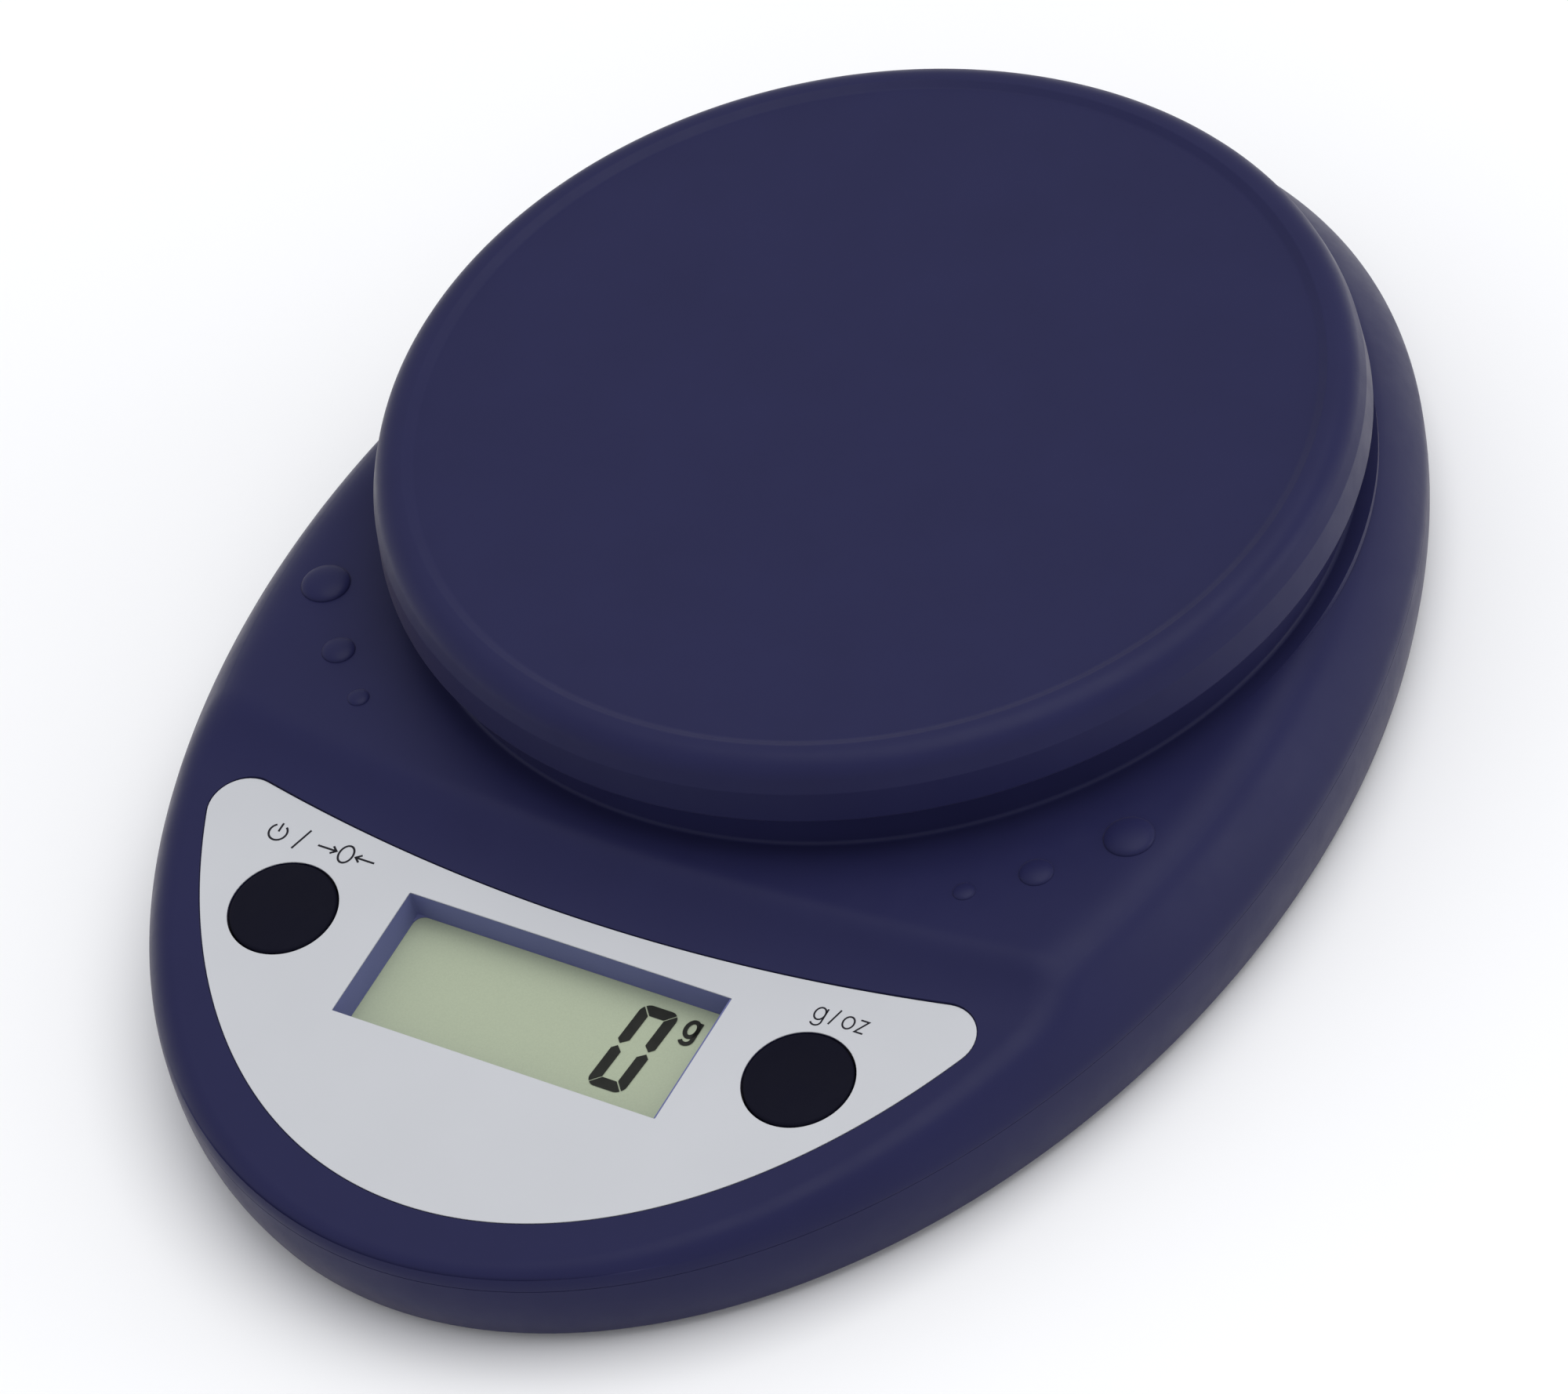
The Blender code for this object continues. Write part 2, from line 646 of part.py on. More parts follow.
def weighing_platform():
    edge_centre = (PLATFORM_RADIUS - PLATFORM_EDGE, PLATFORM_TOP - PLATFORM_EDGE)
    flat = PLATFORM_TOP - LIP_HEIGHT
    under = flat - PLATFORM_SKIN
    ring = CARRIER_RADIUS + GAP
    hook = CARRIER_TOP - CARRIER_THICKNESS - GAP
    profile = [(0.0, flat), (LIP_RADIUS - 0.4 * MM, flat), (LIP_RADIUS + 0.4 * MM, PLATFORM_TOP)]
    profile += arc_points(edge_centre, PLATFORM_EDGE, 90.0, 0.0, 6)
    profile += [
        (PLATFORM_RADIUS + 0.15 * MM, 36.1 * MM),
        (PLATFORM_LOWER_RADIUS, PLATFORM_LOWER_Z),
        (PLATFORM_LOWER_RADIUS - 1.6 * MM, PLATFORM_LOWER_Z),
        (PLATFORM_LOWER_RADIUS - 2.0 * MM, under - 1.0 * MM),
        (PLATFORM_LOWER_RADIUS - 3.0 * MM, under),
        (ring + 1.8 * MM, under),
        (ring + 1.8 * MM, hook - 0.5 * MM),
        (ring - 0.9 * MM, hook - 0.5 * MM),
        (ring - 0.9 * MM, hook),
        (ring, hook),
        (ring, under),
        (0.0, under),
    ]
    platform = turned("weighing_platform", profile, BOSS_STEPS, NAVY)
    platform.location = (0.0, PLATFORM_Y, 0.0)
    smooth(platform)


def platform_carrier():
    bottom = CARRIER_TOP - CARRIER_THICKNESS
    place = (0.0, PLATFORM_Y)
    carrier = cylinder("platform_carrier", CARRIER_RADIUS, bottom, CARRIER_TOP, place, 48, CARRIER_GREY)
    neck_bottom = CELL_BOTTOM + CELL_SIDE + CARRIER_GAP
    neck = (NECK_WIDTH, NECK_DEPTH, bottom + 1.0 * MM - neck_bottom)
    join(carrier, cut_box("neck", neck, (0.0, neck_y(), neck_bottom + neck[2] / 2)))
    for index, y in enumerate(screw_pair(neck_y())):
        cut(carrier, cut_cylinder(f"neck_head_{index}", 3.5 * MM, 25.4 * MM, 40.0 * MM, (0.0, y), 16))
        cut(carrier, cut_cylinder(f"neck_shank_{index}", 2.2 * MM, 20.0 * MM, 26.0 * MM, (0.0, y), 16))
    for index in range(3):
        angle = math.radians(90.0 + 120.0 * (index - 1))
        x = 30.0 * MM * math.cos(angle)
        y = PLATFORM_Y + 30.0 * MM * math.sin(angle)
        cut(carrier, cut_cylinder(f"lightening_{index}", 8.0 * MM, 30.0 * MM, 40.0 * MM, (x, y), 24))


def load_cell():
    """The bending beam: two cross holes joined by a slot leave the thin webs that carry the gauges."""
    middle = CELL_BOTTOM + CELL_SIDE / 2
    size = (CELL_SIDE, CELL_LENGTH, CELL_SIDE)
    beam = box("load_cell", size, (0.0, PLATFORM_Y, middle), ALUMINIUM)
    for index, offset in enumerate((-7.0 * MM, 7.0 * MM)):
        hole = cut_cylinder(f"beam_hole_{index}", 4.4 * MM, 0.0, 20.0 * MM, (0.0, 0.0), 20)
        hole.rotation_euler = (0.0, math.radians(90.0), 0.0)
        hole.location = (0.0, PLATFORM_Y + offset, middle)
        cut(beam, hole)
    cut(beam, cut_box("beam_slot", (20.0 * MM, 14.0 * MM, 2.6 * MM), (0.0, PLATFORM_Y, middle)))
    for index, y in enumerate(screw_pair(neck_y()) + screw_pair(anchor_y())):
        cut(beam, cut_cylinder(f"beam_thread_{index}", 2.1 * MM, 5.0 * MM, 25.0 * MM, (0.0, y), 16))
    pad = (11.0 * MM, 26.0 * MM, 0.8 * MM)
    top = CELL_BOTTOM + CELL_SIDE + 0.1 * MM + pad[2] / 2
    bottom = CELL_BOTTOM - 0.1 * MM - pad[2] / 2
    box("gauge_potting_upper", pad, (0.0, PLATFORM_Y + 2.0 * MM, top), SILICONE, bevel=0.3 * MM)
    box("gauge_potting_lower", pad, (0.0, PLATFORM_Y + 2.0 * MM, bottom), SILICONE, bevel=0.3 * MM)


def screw(name, place, head_radius, head_height, shank_radius, length, head_up, parent=None):
    """A pan-head screw. place is the middle of the head's bearing face."""
    way = 1.0 if head_up else -1.0
    profile = [
        (0.0, head_height),
        (head_radius * 0.7, head_height),
        (head_radius, head_height * 0.55),
        (head_radius, 0.0),
        (shank_radius, 0.0),
        (shank_radius, 0.6 * MM - length),
        (shank_radius * 0.5, -length),
        (0.0, -length),
    ]
    if not head_up:
        profile = [(radius, -height) for radius, height in reversed(profile)]
    item = turned(name, profile, 16, STEEL)
    slot = box(name + "_slot", (head_radius * 1.3, 0.6 * MM, 1.2 * MM), (0.0, 0.0, 0.0), collection=CUTTERS)
    slot.parent = parent
    slot.location = (place[0], place[1], place[2] + way * head_height)
    cut(item, as_cutter(slot))
    item.parent = parent
    item.location = place
    smooth(item)
    return item


def screws():
    for index, y in enumerate(screw_pair(neck_y())):
        place = (0.0, y, 25.7 * MM)
        screw(f"carrier_screw_{index + 1}", place, 3.1 * MM, 2.4 * MM, 1.9 * MM, 15.0 * MM, True)
    for index, y in enumerate(screw_pair(anchor_y())):
        place = (0.0, y, 3.9 * MM)
        screw(f"anchor_screw_{index + 1}", place, 3.2 * MM, 2.2 * MM, 1.9 * MM, 14.0 * MM, False)
    for side_name, side in SIDES.items():
        for place_name, (x, y) in SCREW_PLACES.items():
            name = f"housing_screw_{side_name}_{place_name}"
            screw(name, (side * x, y, 3.3 * MM), 2.7 * MM, 1.7 * MM, 1.3 * MM, 8.2 * MM, False)
        place = (side * BOARD_SCREW_X, BOARD_SCREW_Y, BOARD_TOP - BOARD_THICKNESS - 0.2 * MM)
        screw(f"board_screw_{side_name}", place, 1.9 * MM, 1.2 * MM, 0.85 * MM, 5.0 * MM, False, CONSOLE)


def display_stack():
    module = (WINDOW_WIDTH + 4.0 * MM, WINDOW_DEPTH + 4.3 * MM, 2.0 * MM)
    place = (0.0, 0.0, -LCD_DROP - module[2] / 2)
    box("lcd_module", module, place, LCD_GREEN, parent=CONSOLE, bevel=0.2 * MM)
    box("lcd_connector", (44.0 * MM, 2.2 * MM, 1.0 * MM), (0.0, 8.5 * MM, -7.4 * MM), CHIP_BLACK, parent=CONSOLE)
    size = (89.0 * MM, 26.0 * MM, BOARD_THICKNESS)
    board_place = (0.0, 3.0 * MM, BOARD_TOP - BOARD_THICKNESS / 2)
    board = box("circuit_board", size, board_place, BOARD_GREEN, parent=CONSOLE)
    for side_name, side in SIDES.items():
        place = (side * BOARD_SCREW_X, BOARD_SCREW_Y)
        cut(board, cut_cylinder(f"board_hole_{side_name}", 1.15 * MM, -12.0 * MM, -6.0 * MM, place, 12, CONSOLE))
    low = BOARD_TOP - BOARD_THICKNESS - 0.1 * MM
    chip = cylinder("controller_blob", 6.0 * MM, low - 1.4 * MM, low, (0.0, 3.0 * MM), 20, CHIP_BLACK, None, CONSOLE)
    rounding = chip.modifiers.new("Rounded edges", "BEVEL")
    rounding.width = 0.6 * MM
    rounding.segments = 2
    rounding.limit_method = "ANGLE"


def buttons():
    """Each button: a cap with a flange under the console, and a switch with its own plunger."""
    for side_name, side in SIDES.items():
        place = (side * BUTTON_X, BUTTON_Y, 0.0)
        profile = [
            (0.0, 0.75 * MM),
            (3.0 * MM, 0.7 * MM),
            (5.6 * MM, 0.5 * MM),
            (6.8 * MM, 0.2 * MM),
            (BUTTON_RADIUS, -0.4 * MM),
            (BUTTON_RADIUS, -3.0 * MM),
            (8.5 * MM, -3.0 * MM),
            (8.5 * MM, -3.9 * MM),
            (0.0, -3.9 * MM),
        ]
        cap = turned(f"{side_name}_button_cap", profile, 40, BUTTON_BLACK)
        cap.parent = CONSOLE
        cap.location = place
        smooth(cap)
        body = box(
            f"{side_name}_switch_body",
            (6.2 * MM, 6.2 * MM, 3.2 * MM),
            (place[0], place[1], -6.4 * MM),
            CHIP_BLACK,
            parent=CONSOLE,
        )
        spot = (place[0], place[1])
        cut(body, cut_cylinder(f"{side_name}_switch_bore", 1.9 * MM, -6.8 * MM, -4.0 * MM, spot, 16, CONSOLE))
        low = -6.1 * MM
        cylinder(f"{side_name}_switch_plunger", 1.6 * MM, low, -4.2 * MM, spot, 16, CARRIER_GREY, None, CONSOLE)


def battery_parts():
    """Two AA cells that face opposite ways, with their plates and springs."""
    front = BAY_Y - BAY_LENGTH / 2
    rear = BAY_Y + BAY_LENGTH / 2
    for index, way in enumerate((-1, 1)):
        x = BAY_X + way * AA_SPACING / 2
        tip = front + 1.1 * MM if way < 0 else rear - 1.1 * MM
        profile = [
            (0.0, 0.0),
            (2.7 * MM, 0.0),
            (2.7 * MM, -1.3 * MM),
            (6.6 * MM, -1.3 * MM),
            (AA_RADIUS, -1.8 * MM),
            (AA_RADIUS, 0.4 * MM - AA_LENGTH),
            (6.6 * MM, -AA_LENGTH),
            (0.0, -AA_LENGTH),
        ]
        cell = turned(f"battery_{index + 1}", profile, 28, CELL_JACKET)
        cell.rotation_euler = (math.radians(90.0) if way < 0 else math.radians(-90.0), 0.0, 0.0)
        cell.location = (x, tip, AA_Z)
        smooth(cell)
        end = rear - 1.1 * MM if way < 0 else front + 1.1 * MM
        coil_spring(f"contact_spring_{index + 1}", (x, end, AA_Z), way)
        name = "contact_plate_positive" if way < 0 else "contact_plate_negative"
        plate = box(name, (10.0 * MM, 0.5 * MM, 9.0 * MM), (x, front + 0.55 * MM, AA_Z), STEEL)
        tab = (2.4 * MM, 5.0 * MM, 0.5 * MM)
        join(plate, cut_box(name + "_tab", tab, (x, front - 2.0 * MM, AA_Z)))
    box("contact_bridge", (26.0 * MM, 0.5 * MM, 9.0 * MM), (BAY_X, rear - 0.55 * MM, AA_Z), STEEL)


def tube(name, points, radius, material, resolution=1):
    curve = bpy.data.curves.new(name, "CURVE")
    curve.dimensions = "3D"
    curve.bevel_depth = radius
    curve.bevel_resolution = resolution
    curve.use_fill_caps = True
    spline = curve.splines.new("POLY")
    spline.points.add(len(points) - 1)
    for point, place in zip(spline.points, points):
        point.co = (*place, 1.0)
    curve.materials.append(material)
    item = bpy.data.objects.new(name, curve)
    PARTS.objects.link(item)
    return item


def coil_spring(name, place, way):
    """A short conical coil. It starts at place, on the plate, and narrows towards the cell."""
    turns = 3.0
    length = 2.3 * MM
    steps = 36
    points = []
    for index in range(steps + 1):
        share = index / steps
        angle = 2 * math.pi * turns * share
        radius = (3.6 - 1.3 * share) * MM
        along = place[1] + way * length * share
        points.append((place[0] + radius * math.cos(angle), along, place[2] + radius * math.sin(angle)))
    tube(name, points, 0.3 * MM, STEEL)


def leads():
    """Short wires inside the housing."""
    board_end = 14.6 * MM
    from_cell = [
        (-8.0 * MM, 22.0 * MM, 15.0 * MM),
        (-8.4 * MM, 4.0 * MM, 15.0 * MM),
        (-10.0 * MM, -14.0 * MM, 14.0 * MM),
        (-13.0 * MM, -36.0 * MM, 14.0 * MM),
        (-14.0 * MM, -51.5 * MM, board_end),
    ]
    tube("load_cell_lead", from_cell, 0.9 * MM, GREY_LEAD)
    front = BAY_Y - BAY_LENGTH / 2
    for name, way, end, material in (
        ("battery_lead_red", -1, 16.0 * MM, RED_LEAD),
        ("battery_lead_black", 1, 22.0 * MM, BLACK_LEAD),
    ):
        x = BAY_X + way * AA_SPACING / 2
        points = [
            (x, front - 5.6 * MM, AA_Z),
            (x, front - 8.0 * MM, AA_Z + 0.6 * MM),
            ((x + end) / 2, -34.0 * MM, 13.5 * MM),
            (end, -51.5 * MM, board_end),
        ]
        tube(name, points, 0.6 * MM, material)


def feet():
    for side_name, side in SIDES.items():
        for place_name, (x, y) in FOOT_PLACES.items():
            profile = [
                (0.0, SOLE_Z + FOOT_SEAT - GAP),
                (FOOT_RADIUS, SOLE_Z + FOOT_SEAT - GAP),
                (FOOT_RADIUS, 0.4 * MM),
                (FOOT_RADIUS - 0.4 * MM, 0.0),
                (0.0, 0.0),
            ]
            foot = turned(f"foot_{side_name}_{place_name}", profile, 24, RUBBER)
            foot.location = (side * x, y, 0.0)
            smooth(foot)


upper_housing()
lower_housing()
face_label()
weighing_platform()
platform_carrier()
load_cell()
screws()
display_stack()
buttons()
battery_door()
battery_parts()
leads()
feet()
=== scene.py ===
"""The looks of a compact digital kitchen scale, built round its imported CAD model.

The housing shells, platform, label, display, buttons, feet and battery lid are modelled again here at
full detail. The parts inside keep their CAD shape and get their own materials. Front is -Y, up is +Z.
"""

import json
import math

import bmesh
import bpy
import numpy as np
from mathutils import Matrix, Vector

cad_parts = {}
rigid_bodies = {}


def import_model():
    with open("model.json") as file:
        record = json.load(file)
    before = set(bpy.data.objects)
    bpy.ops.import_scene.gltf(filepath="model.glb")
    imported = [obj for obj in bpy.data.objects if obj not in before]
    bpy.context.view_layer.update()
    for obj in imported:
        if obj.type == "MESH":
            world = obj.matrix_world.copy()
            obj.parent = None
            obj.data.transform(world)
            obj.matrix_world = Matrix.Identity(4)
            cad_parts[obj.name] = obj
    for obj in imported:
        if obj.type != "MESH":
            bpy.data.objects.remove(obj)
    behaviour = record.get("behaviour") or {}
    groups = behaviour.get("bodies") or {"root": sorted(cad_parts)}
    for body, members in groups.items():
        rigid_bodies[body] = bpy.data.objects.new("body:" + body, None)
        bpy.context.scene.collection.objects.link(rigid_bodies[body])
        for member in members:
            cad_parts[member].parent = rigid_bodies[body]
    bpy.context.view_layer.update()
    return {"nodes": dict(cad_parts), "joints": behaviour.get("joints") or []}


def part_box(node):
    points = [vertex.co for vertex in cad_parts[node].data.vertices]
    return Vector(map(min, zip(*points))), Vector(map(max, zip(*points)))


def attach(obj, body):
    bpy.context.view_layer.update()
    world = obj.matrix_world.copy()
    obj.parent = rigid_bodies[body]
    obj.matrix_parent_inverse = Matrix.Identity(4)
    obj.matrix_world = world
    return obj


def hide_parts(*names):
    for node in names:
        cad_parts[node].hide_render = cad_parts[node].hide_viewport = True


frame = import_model()

MM = 0.001


def centre_of(node):
    low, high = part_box(node)
    return (low + high) / 2


# Housing, from the frame's own boxes.
LOWER_LOW, LOWER_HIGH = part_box("lower_housing")
UPPER_LOW, UPPER_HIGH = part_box("upper_housing")
PLATFORM_LOW, PLATFORM_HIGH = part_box("weighing_platform")
HALF_WIDTH = UPPER_HIGH.x
STRETCH = UPPER_HIGH.y / UPPER_HIGH.x
SOLE_Z = LOWER_LOW.z
SOLE_HALF_WIDTH = HALF_WIDTH - 1.8 * MM
BELT_Z = UPPER_LOW.z + 7.3 * MM
BOSS_TOP = UPPER_HIGH.z
DECK_Z = BOSS_TOP - 9.1 * MM
SHOULDER_RADIUS = 22.2 * MM
SHOULDER_FOOT = math.radians(19.7)
WALL_BLEND = 2.1 * MM
WALL = 2.2 * MM
SKIN = 2.6 * MM
FLOOR = 2.0 * MM
RIDGE_SOFTNESS = 2.9 * MM
PARTING_GAP = 0.04 * MM
PARTING_EDGE = 0.06 * MM
SHOULDER_X = HALF_WIDTH - SHOULDER_RADIUS * math.cos(SHOULDER_FOOT) - math.tan(SHOULDER_FOOT) * WALL_BLEND / 2
SHOULDER_Z = BELT_Z + WALL_BLEND - SHOULDER_RADIUS * math.sin(SHOULDER_FOOT)

# Boss and platform.
PLATFORM_Y = (PLATFORM_LOW.y + PLATFORM_HIGH.y) / 2
PLATFORM_TOP = PLATFORM_HIGH.z
PLATFORM_LOWER_Z = 31.2 * MM
PLATFORM_LOWER_RADIUS = PLATFORM_HIGH.x
PLATFORM_RADIUS = PLATFORM_LOWER_RADIUS - 0.5 * MM
LIP_RADIUS = 61.4 * MM
LIP_HEIGHT = 0.6 * MM
BOSS_RADIUS = 63.9 * MM

# Console plane and the soft step up to the deck.
CONSOLE_TILT = math.radians(5.3)
CONSOLE_Y = -66.3 * MM
CONSOLE_Z = 18.6 * MM
STEP_Y = -43.0 * MM
STEP_RADIUS = 451.0 * MM
STEP_SLOPE = 1.4
STEP_TOP_SOFTNESS = 1.2 * MM
STEP_FOOT_SOFTNESS = 3.2 * MM

# Raised dots on the deck, on a circle round the platform: degrees from the front, and radius.
DOT_CIRCLE = 75.3 * MM
DOT_RISE = 0.34
DOTS = ((38.1, 1.5 * MM), (45.4, 2.3 * MM), (55.2, 3.4 * MM))

# Label, window and buttons, in the console's own plane.
FILM = 0.2 * MM
LINER = 0.9 * MM
REVEAL = 0.3 * MM
LABEL_HALF_WIDTH = 68.7 * MM
LABEL_HALF_DEPTH = 99.8 * MM
LABEL_TOP_Y = -52.1 * MM
LABEL_TOP_RADIUS = 276.0 * MM
LABEL_CORNER = 5.0 * MM
WINDOW_WIDTH = 49.0 * MM
WINDOW_DEPTH = 20.3 * MM
LCD_DROP = 4.6 * MM
LCD_THICK = 1.6 * MM
BUTTON_X = 39.4 * MM
BUTTON_Y = 1.9 * MM
BUTTON_RADIUS = 7.3 * MM
BUTTON_HOLE = 7.55 * MM
BUTTON_FLANGE = 1.1 * MM
BUTTON_DEPTH = 3.9 * MM

# Legends over the buttons: a base line, stroke widths and the places of the signs along it.
LEGEND_BASE = 11.15 * MM
SIGN_TALL = 2.8 * MM
SIGN_STROKE = 0.3 * MM
POWER_X = -46.6 * MM
SLASH_X = (-43.5 * MM, -42.4 * MM)
ZERO_X = -35.9 * MM
ARROW_TIP = 1.5 * MM
ARROW_TAIL = 4.4 * MM
ARROW_BARB = (0.75 * MM, 0.6 * MM)
UNIT_TALL = 1.9 * MM
UNIT_STROKE = 0.25 * MM
UNIT_SIGNS = (
    ("g", 36.2 * MM, 1.5 * MM),
    ("/", 38.7 * MM, 0.7 * MM),
    ("o", 40.4 * MM, 1.55 * MM),
    ("z", 42.55 * MM, 1.2 * MM),
)
INK_LIFT = 0.002 * MM
INK_THICK = 0.015 * MM

# The display's digit and unit.
DIGIT_PLACE = (13.75 * MM, 1.24 * MM)
DIGIT_HALF_WIDTH = 2.81 * MM
DIGIT_HALF_HEIGHT = 6.96 * MM
DIGIT_BAR = 1.61 * MM
DIGIT_CORNER = 1.25 * MM
DIGIT_GAP = 0.13 * MM
DIGIT_LEAN = 0.085
SEGMENT_THICK = 0.03 * MM
LCD_UNIT = (18.75 * MM, 5.45 * MM, 2.4 * MM, 1.7 * MM)
LCD_UNIT_STROKE = 0.6 * MM

# Lower housing and underside.
TONGUE_RISE = 1.7 * MM
TONGUE_OUTER = 3.2 * MM
TONGUE_INNER = 4.4 * MM
BAY_HALF_WIDTH = 15.5 * MM
BAY_TOP = 18.6 * MM
BAY_WALL = 2.8 * MM
PEDESTAL = (18.0 * MM, 19.0 * MM)
PILLAR_RADIUS = 5.0 * MM
PILLAR_TOP = 4.9 * MM
SCREW_SEAT = (3.1 * MM, 3.6 * MM, 1.7 * MM)
ANCHOR_SEAT = (3.6 * MM, 4.2 * MM, 2.2 * MM)
FOOT_SEAT = (6.2 * MM, 0.9 * MM)
THUMB_RADIUS = 7.0 * MM
THUMB_DEPTH = 2.4 * MM
HINGE_BORE = 1.5 * MM
HINGE_PIN = 1.2 * MM
LID_THICK = 1.6 * MM
CROSS_DEPTH = 0.9 * MM
CROSS_TURN = 20.0
CARRIER_HEAD = 2.4 * MM

# How far a cutter reaches past the face it opens.
PAST = 1.0 * MM

SIDES = {"left": -1, "right": 1}
HOUSING_SCREWS = [f"housing_screw_{side}_{place}" for side in SIDES for place in ("rear", "middle", "front")]
FEET = [f"foot_{side}_{place}" for side in SIDES for place in ("rear", "front")]
CONSOLE = Matrix.Translation((0.0, CONSOLE_Y, CONSOLE_Z)) @ Matrix.Rotation(CONSOLE_TILT, 4, "X")


# -------------------- materials


class Nodes:
    """A material with short calls for the nodes it is made of. Coordinates are in metres."""

    def __init__(self, name, colour, roughness, metallic=0.0):
        self.material = bpy.data.materials.new(name)
        self.material.use_nodes = True
        self.tree = self.material.node_tree
        self.shader = self.tree.nodes["Principled BSDF"]
        self.shader.inputs["Base Color"].default_value = (*colour, 1.0)
        self.shader.inputs["Roughness"].default_value = roughness
        self.shader.inputs["Metallic"].default_value = metallic
        self.material.diffuse_color = (*colour, 1.0)
        self.colour = colour
        self.place = self.tree.nodes.new("ShaderNodeTexCoord").outputs["Object"]

    def link(self, source, target):
        self.tree.links.new(source, target)

    def noise(self, size, detail=3.0, rough=0.5, stretch=None):
        """Noise with features about this size across."""
        node = self.tree.nodes.new("ShaderNodeTexNoise")
        node.inputs["Scale"].default_value = 1.0 / size
        node.inputs["Detail"].default_value = detail
        node.inputs["Roughness"].default_value = rough
        place = self.place
        if stretch:
            mapping = self.tree.nodes.new("ShaderNodeMapping")
            mapping.inputs["Scale"].default_value = stretch
            self.link(self.place, mapping.inputs["Vector"])
            place = mapping.outputs["Vector"]
        self.link(place, node.inputs["Vector"])
        return node.outputs["Fac"]

    def ramp(self, value, low, high, out_low=0.0, out_high=1.0):
        node = self.tree.nodes.new("ShaderNodeMapRange")
        node.inputs["From Min"].default_value = low
        node.inputs["From Max"].default_value = high
        node.inputs["To Min"].default_value = out_low
        node.inputs["To Max"].default_value = out_high
        self.link(value, node.inputs["Value"])
        return node.outputs["Result"]

    def mix(self, factor, first, second):
        node = self.tree.nodes.new("ShaderNodeMix")
        node.data_type = "RGBA"
        self.link(factor, node.inputs["Factor"])
        for name, value in (("A", first), ("B", second)):
            socket = next(s for s in node.inputs if s.name == name and s.type == "RGBA")
            if isinstance(value, tuple):
                socket.default_value = (*value, 1.0)
            else:
                self.link(value, socket)
        return next(s for s in node.outputs if s.type == "RGBA")

    def tint(self, share):
        return tuple(min(channel * share, 1.0) for channel in self.colour)

    def colours(self, value, low, high, dark, light):
        """Base colour runs from dark to light shares of the material's colour."""
        factor = self.ramp(value, low, high)
        self.link(self.mix(factor, self.tint(dark), self.tint(light)), self.shader.inputs["Base Color"])

    def roughness(self, value, low, high, out_low, out_high):
        self.link(self.ramp(value, low, high, out_low, out_high), self.shader.inputs["Roughness"])

    def bump(self, value, height, strength=1.0):
        node = self.tree.nodes.new("ShaderNodeBump")
        node.inputs["Distance"].default_value = height
        node.inputs["Strength"].default_value = strength
        self.link(value, node.inputs["Height"])
        previous = self.shader.inputs["Normal"].links
        if previous:
            self.link(previous[0].from_socket, node.inputs["Normal"])
        self.link(node.outputs["Normal"], self.shader.inputs["Normal"])

    def set(self, **sockets):
        for name, value in sockets.items():
            self.shader.inputs[name.replace("_", " ").title().replace("Ior", "IOR")].default_value = value
        return self


def moulded(name, colour, roughness, grain=0.35 * MM, depth=0.012 * MM, mottle=0.06):
    """Moulded plastic: a fine spark-eroded grain, faint mottling and slightly uneven gloss."""
    m = Nodes(name, colour, roughness)
    cloud = m.noise(14 * MM, 4.0, 0.6)
    m.colours(cloud, 0.3, 0.7, 1.0 - mottle, 1.0 + mottle)
    m.roughness(m.noise(5 * MM, 5.0, 0.65), 0.3, 0.7, roughness - 0.05, roughness + 0.05)
    m.bump(m.noise(grain, 4.0, 0.6), depth, 0.5)
    m.bump(m.noise(30 * MM, 2.0), 0.05 * MM, 0.3)
    return m


def metal(name, colour, roughness, stretch=(1.0, 1.0, 1.0)):
    """Bare metal with fine drawn lines and dull patches."""
    m = Nodes(name, colour, roughness, 1.0)
    lines = m.noise(0.6 * MM, 4.0, 0.6, stretch)
    m.colours(m.noise(4 * MM, 3.0), 0.3, 0.7, 0.82, 1.05)
    m.roughness(lines, 0.3, 0.7, roughness - 0.08, roughness + 0.12)
    m.bump(lines, 0.01 * MM, 0.4)
    return m


NAVY = moulded("navy_plastic", (0.0151, 0.0158, 0.059), 0.42, mottle=0.035)
NAVY.set(specular_ior_level=0.11, sheen_weight=0.06, sheen_roughness=0.35)
NAVY.set(sheen_tint=(1.0, 0.86, 0.8, 1.0))
NAVY = NAVY.material

# A lighter copy of the navy plastic for the window's liner and bezel: painted light standing in for light
# falling on the shaded recess walls.
PAINTED_LIT_NAVY = moulded("window_navy_painted_light", (0.135, 0.148, 0.31), 0.55, mottle=0.04)
PAINTED_LIT_NAVY.set(specular_ior_level=0.15)
PAINTED_LIT_NAVY = PAINTED_LIT_NAVY.material

SILVER = Nodes("silver_label", (0.505, 0.515, 0.54), 0.42)
SILVER.colours(SILVER.noise(22 * MM, 3.0), 0.3, 0.7, 0.985, 1.015)
SILVER.roughness(SILVER.noise(0.4 * MM, 4.0, 0.7), 0.3, 0.7, 0.36, 0.5)
SILVER.bump(SILVER.noise(0.25 * MM, 3.0), 0.004 * MM, 0.4)
SILVER = SILVER.material

INK = moulded("label_ink", (0.007, 0.007, 0.012), 0.6, 0.2 * MM, 0.002 * MM, 0.15)
INK.set(specular_ior_level=0.2)
INK = INK.material
BUTTON = moulded("button_black", (0.0038, 0.0038, 0.0105), 0.64, 0.3 * MM, 0.01 * MM, 0.08)
BUTTON.set(specular_ior_level=0.07)
BUTTON = BUTTON.material

LCD = Nodes("lcd_green", (0.385, 0.435, 0.31), 0.5)
LCD.colours(LCD.noise(0.22 * MM, 2.0), 0.25, 0.75, 0.96, 1.04)
LCD.roughness(LCD.noise(9 * MM, 3.0), 0.3, 0.7, 0.42, 0.55)
LCD.set(specular_ior_level=0.3)
LCD = LCD.material

